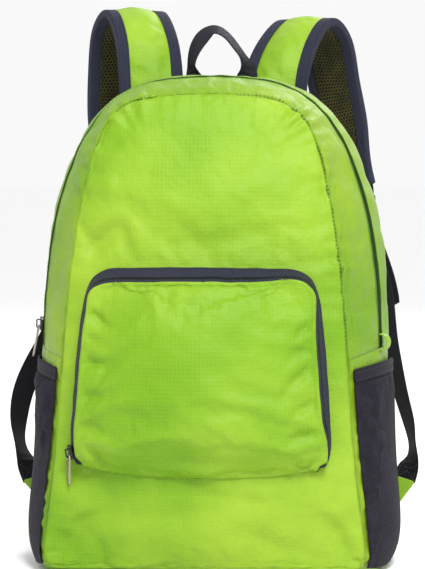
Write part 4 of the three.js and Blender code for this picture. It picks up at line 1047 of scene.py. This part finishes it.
side_mesh = knitted_mesh("side_pocket_mesh", MESH_THREAD, MESH_HOLE, MESH_PITCH, 0.42, 0.0003)
hem_tape = woven_tape("elastic_hem", HEM_DARK, HEM_LIGHT, HEM_PITCH, 0.0022)
for side in ("left", "right"):
    node = "side_pocket_" + side
    hem_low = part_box("side_pocket_hem_" + side)[0].z
    panel = refine(object_from(outer_skin([node], BODY_WELD), "side_panel"), POCKET_LEVELS)
    pinned = sorted(open_points(panel.data))
    billow(panel, pinned, SIDE_SLACK, SIDE_PRESSURE, SIDE_MOVE, outward=True)
    bm = bmesh.new()
    bm.from_mesh(panel.data)
    bpy.data.objects.remove(panel)
    cloth = bm.verts.layers.float_vector.new("cloth")
    rim = point_tree([vertex.co.copy() for vertex in bm.verts if vertex.is_boundary])
    normals = [vertex.normal.copy() for vertex in bm.verts]
    for vertex, normal in zip(bm.verts, normals):
        turn = round_side(vertex.co)
        vertex[cloth] = (turn, vertex.co.z, 0)
        fade = 1 - math.exp(-((rim.find(vertex.co)[2] / RIM_HELD) ** 2))
        below = (hem_low - vertex.co.z) / GATHER_DROP
        ripple = 1 + noise.noise(Vector((turn / GATHER_WIDE, vertex.co.z * 9, 2.4)))
        vertex.co += normal * GATHER * ripple * fade * math.exp(-below * below)
    part = cut_part(bm, 0, node + "_mesh", side_mesh, MESH_WALL, node)
    bm.free()
    hem, hem_frames = ribbon("side_pocket_hem_" + side, f"side_hem_{side}", 3, 0.7, hem_tape)
    outside = Vector((HEM_OUT if side == "right" else -HEM_OUT, 0, 0))
    hem_rows = [[middle + width * off + outside for middle, width, _ in hem_frames] for off in HEM_ROWS]
    stitch_rows("hem_stitching_" + side, navy_thread, [hem], hem_rows)

# The shoulder straps: a foam pad in ripstop, spacer mesh on the wearer's side, and woven tape folded
# round each edge and sewn through all layers. Black webbing runs on from each pad to a cloth tab at the
# bag's foot, and crossed boxes of stitches hold its ends.
STRAP_LEVELS = 2
PAD_SLACK = 0.03
PAD_PRESSURE = 3
PAD_MOVE = 0.003
PAD_HELD = 0.0028  # the pad is held wherever its lining or a binding lies this close
BINDING_ROWS = (-0.0085, 0.0085)  # the stitches run this far in from the strap's edges
BINDING_HOVER = 0.006
STRAP_SEARCH = 0.031
BOX_HOVER = 0.002
BOX_STEPS = 5
BOX_LONG = 0.014
BOX_HALF = 0.0072
BOX_PITCH = 0.0024
BOX_MARGIN = 0.003
BASE_ROWS = (0.005, 0.009)  # where the strap is stitched down across its upper end
SPACER_DARK = (0.006, 0.006, 0.004, 1)
SPACER_DOT = (0.044, 0.038, 0.009, 1)
SPACER_PITCH = 0.0036
# painted shade and painted highlight: a dark and a light copy of one colour, for the tape's hollows and
# its raised ribs
BINDING_DARK = (0.011, 0.012, 0.024, 1)
BINDING_LIGHT = (0.042, 0.046, 0.08, 1)
BINDING_PITCH = 0.0018
# painted shade and painted highlight: a dark and a light copy of one colour, for the tape's hollows and
# its raised ribs
WEB_DARK = (0.003, 0.0025, 0.0045, 1)
WEB_LIGHT = (0.013, 0.012, 0.018, 1)
WEB_PITCH = 0.0015
GREY_THREAD = (0.05, 0.05, 0.06, 1)


# A point over a strip of cloth, so far along it, so far to one side and so far above it
def over_strip(frames, along, aside, above):
    k = next((k for k in range(1, len(frames)) if frames[k][2] > along), len(frames) - 1)
    first, last = frames[k - 1], frames[k]
    share = (along - first[2]) / (last[2] - first[2])
    middle = first[0].lerp(last[0], share)
    width = first[1].lerp(last[1], share).normalized()
    out = width.cross(last[0] - first[0]).normalized()
    return middle + width * aside + out * above


# The crossed box that holds an end of webbing, on both of its faces
def crossed_box(frames, low, high, half):
    paths = []
    for above in (-BOX_HOVER, BOX_HOVER):
        for route in (
            [(-half, low), (half, low), (half, high), (-half, high), (-half, low), (half, high)],
            [(half, low), (-half, high)],
        ):
            path = []
            for (aside, along), (next_aside, next_along) in zip(route, route[1:]):
                for k in range(BOX_STEPS):
                    share = k / BOX_STEPS
                    place = (along + (next_along - along) * share, aside + (next_aside - aside) * share)
                    path.append(over_strip(frames, place[0], place[1], above))
            path.append(over_strip(frames, route[-1][1], route[-1][0], above))
            paths.append(path)
    return paths


spacer = knitted_mesh("spacer_mesh", SPACER_DOT, SPACER_DARK, SPACER_PITCH, 0.46, 0.0005)
binding_tape = woven_tape("strap_binding", BINDING_DARK, BINDING_LIGHT, BINDING_PITCH, 0.0035)
black_web = woven_tape("black_webbing", WEB_DARK, WEB_LIGHT, WEB_PITCH, 0.0025)
plain_ripstop = ripstop_cloth("ripstop", False)
grey_thread = thread_finish("grey_thread", GREY_THREAD)
strap_frames = {}
strap_half = {}
for side in ("left", "right"):
    holders = []
    lining, _ = ribbon("strap_lining_" + side, "lining_" + side, STRAP_LEVELS, 0.6, spacer)
    holders.append(lining)
    for word in ("inner", "outer"):
        node = f"strap_binding_{word}_{side}"
        binding, _ = ribbon(node, f"binding_{word}_{side}", STRAP_LEVELS, 0.5, binding_tape)
        holders.append(binding)
    pad, strap_frames[side] = ribbon("strap_pad_" + side, "pad_" + side, STRAP_LEVELS, 0.3, plain_ripstop)
    held = point_tree([vertex.co.copy() for holder in holders for vertex in holder.data.vertices])
    strap_half[side] = []
    for middle, width, _ in strap_frames[side]:
        near = [v.co for v in pad.data.vertices if (v.co - middle).length < STRAP_SEARCH]
        strap_half[side].append(max(abs((place - middle).dot(width)) for place in near))
    pinned = [v.index for v in pad.data.vertices if held.find(v.co)[2] < PAD_HELD]
    billow(pad, pinned, PAD_SLACK, PAD_PRESSURE, PAD_MOVE, outward=True)
    rows = []
    middles = [middle for middle, _, _ in strap_frames[side]]
    for off in BINDING_ROWS:
        for face in (-1, 1):
            path = []
            for k, (middle, width, _) in enumerate(strap_frames[side]):
                ahead = middles[min(k + 1, len(middles) - 1)] - middles[max(k - 1, 0)]
                out = width.cross(ahead).normalized()
                half = (strap_half[side][k] - abs(off)) * math.copysign(1, off)
                path.append(middle + width * half + out * face * BINDING_HOVER)
            rows.append(path)
    stitch_rows("binding_stitching_" + side, navy_thread, holders[1:], rows)
    total = strap_frames[side][-1][2]
    base_first = strap_frames[side][0][0].y < strap_frames[side][-1][0].y
    base_rows = []
    for off in BASE_ROWS:
        along = off if base_first else total - off
        half = strap_half[side][0 if base_first else -1] - BOX_MARGIN
        for above in (-BINDING_HOVER, BINDING_HOVER):
            asides = [half * (k / 6 - 1) for k in range(13)]
            base_rows.append([over_strip(strap_frames[side], along, aside, above) for aside in asides])
    stitch_rows(
        "strap_base_stitching_" + side, navy_thread, holders + [pad], base_rows, BOX_PITCH
    )
    tongue, tongue_frames = ribbon("strap_tongue_" + side, "tongue_" + side, 2, 0.8, black_web)
    strap, web_frames = ribbon("webbing_" + side, "adjuster_" + side, 2, 0.8, black_web)
    boxes = []
    for frames, on_top in ((tongue_frames, True), (web_frames, False)):
        last = frames[-1][2]
        first_end = (frames[0][0].z > frames[-1][0].z) == on_top
        low = BOX_MARGIN if first_end else last - BOX_MARGIN - BOX_LONG
        boxes += crossed_box(frames, low, low + BOX_LONG, BOX_HALF)
    stitch_rows("webbing_stitching_" + side, grey_thread, [tongue, strap], boxes, BOX_PITCH)
    tab, _ = ribbon("foot_tab_" + side, "tab_" + side, 3, 0.7, plain_ripstop)

# The grab loop: soft webbing, folded to a point at the top. Its ends lie between the straps and are sewn
# in behind the bag's back seam.
# painted shade and painted highlight: a dark and a light copy of one colour, for the tape's hollows and
# its raised ribs
LOOP_DARK = (0.009, 0.008, 0.014, 1)
LOOP_LIGHT = (0.034, 0.032, 0.046, 1)
loop_web = woven_tape("loop_webbing", LOOP_DARK, LOOP_LIGHT, WEB_PITCH, 0.0025)
grab, grab_frames = ribbon("grab_loop", "grab_webbing", 2, 0.8, loop_web)

# The moulded buckles and the cast zip sliders with their pulls, all with softened edges. A fold of the
# bag's cloth closes the far end of the main zip.
BUCKLE_ROUND = 0.0005
METAL_ROUND = 0.00018
FLAT_ANGLE = math.radians(2)
CORNER_ANGLE = math.radians(25)


# A merged copy of a hard CAD node with its corners rounded to a width
def softened(name, made_name, width, material):
    bm = merged_copy(name)
    bmesh.ops.dissolve_limit(bm, angle_limit=FLAT_ANGLE, verts=bm.verts, edges=bm.edges)
    bm.normal_update()
    edges = [edge for edge in bm.edges if edge.calc_face_angle(0) > CORNER_ANGLE]
    bmesh.ops.bevel(
        bm,
        geom=edges,
        offset=width,
        affect="EDGES",
        segments=2,
        profile=0.5,
        material=-1,
        clamp_overlap=False,
    )
    for face in bm.faces:
        face.smooth = True
        face.material_index = 0
    made = object_from(bm, made_name)
    dress(made, material, name)
    return made


# Plastic or metal with small rubbed spots
def worn_finish(name, base, scratch, roughness, metallic):
    made, tree, shader = new_material(name, Metallic=metallic)
    place = add_node(tree, "TexCoord").outputs["Object"]
    mottle = add_node(tree, "TexNoise", Vector=place, Scale=260.0, Detail=4.0).outputs["Fac"]
    fine = add_node(tree, "TexNoise", Vector=place, Scale=2200.0, Detail=2.0).outputs["Fac"]
    spots = add_node(tree, "MapRange", Value=mottle, From_Min=0.55, From_Max=0.75).outputs[0]
    tree.links.new(mixed(tree, spots, base, scratch), shader.inputs["Base Color"])
    gloss = add_node(tree, "MapRange", Value=mottle, To_Min=roughness - 0.12, To_Max=roughness + 0.12)
    tree.links.new(gloss.outputs[0], shader.inputs["Roughness"])
    bumped(tree, shader, [(fine, 0.00002)])
    return made


buckle_plastic = worn_finish("buckle_plastic", (0.008, 0.008, 0.01, 1), (0.02, 0.02, 0.024, 1), 0.42, 0)
slider_metal = worn_finish("slider_metal", (0.03, 0.03, 0.034, 1), (0.22, 0.21, 0.2, 1), 0.34, 0.9)
pull_metal = worn_finish("pull_metal", (0.3, 0.27, 0.2, 1), (0.55, 0.52, 0.42, 1), 0.3, 1)
HARDWARE = [
    ("ladder_lock_left", "lock_left", BUCKLE_ROUND, buckle_plastic, "buckle"),
    ("ladder_lock_right", "lock_right", BUCKLE_ROUND, buckle_plastic, "buckle"),
    ("pocket_zip_slider", "pocket_slider", METAL_ROUND, slider_metal, "zip_slider"),
    ("pocket_zip_pull", "pocket_pull", METAL_ROUND, pull_metal, "zip_pull"),
    ("main_zip_slider", "main_slider", METAL_ROUND, slider_metal, "zip_slider"),
    ("main_zip_pull", "main_pull", METAL_ROUND, pull_metal, "zip_pull"),
]
for name, made_name, width, material, slot_name in HARDWARE:
    piece = softened(name, made_name, width, material)
end_loop, _ = ribbon("zip_end_loop", "end_loop", 3, 0.6, plain_ripstop)

low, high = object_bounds()
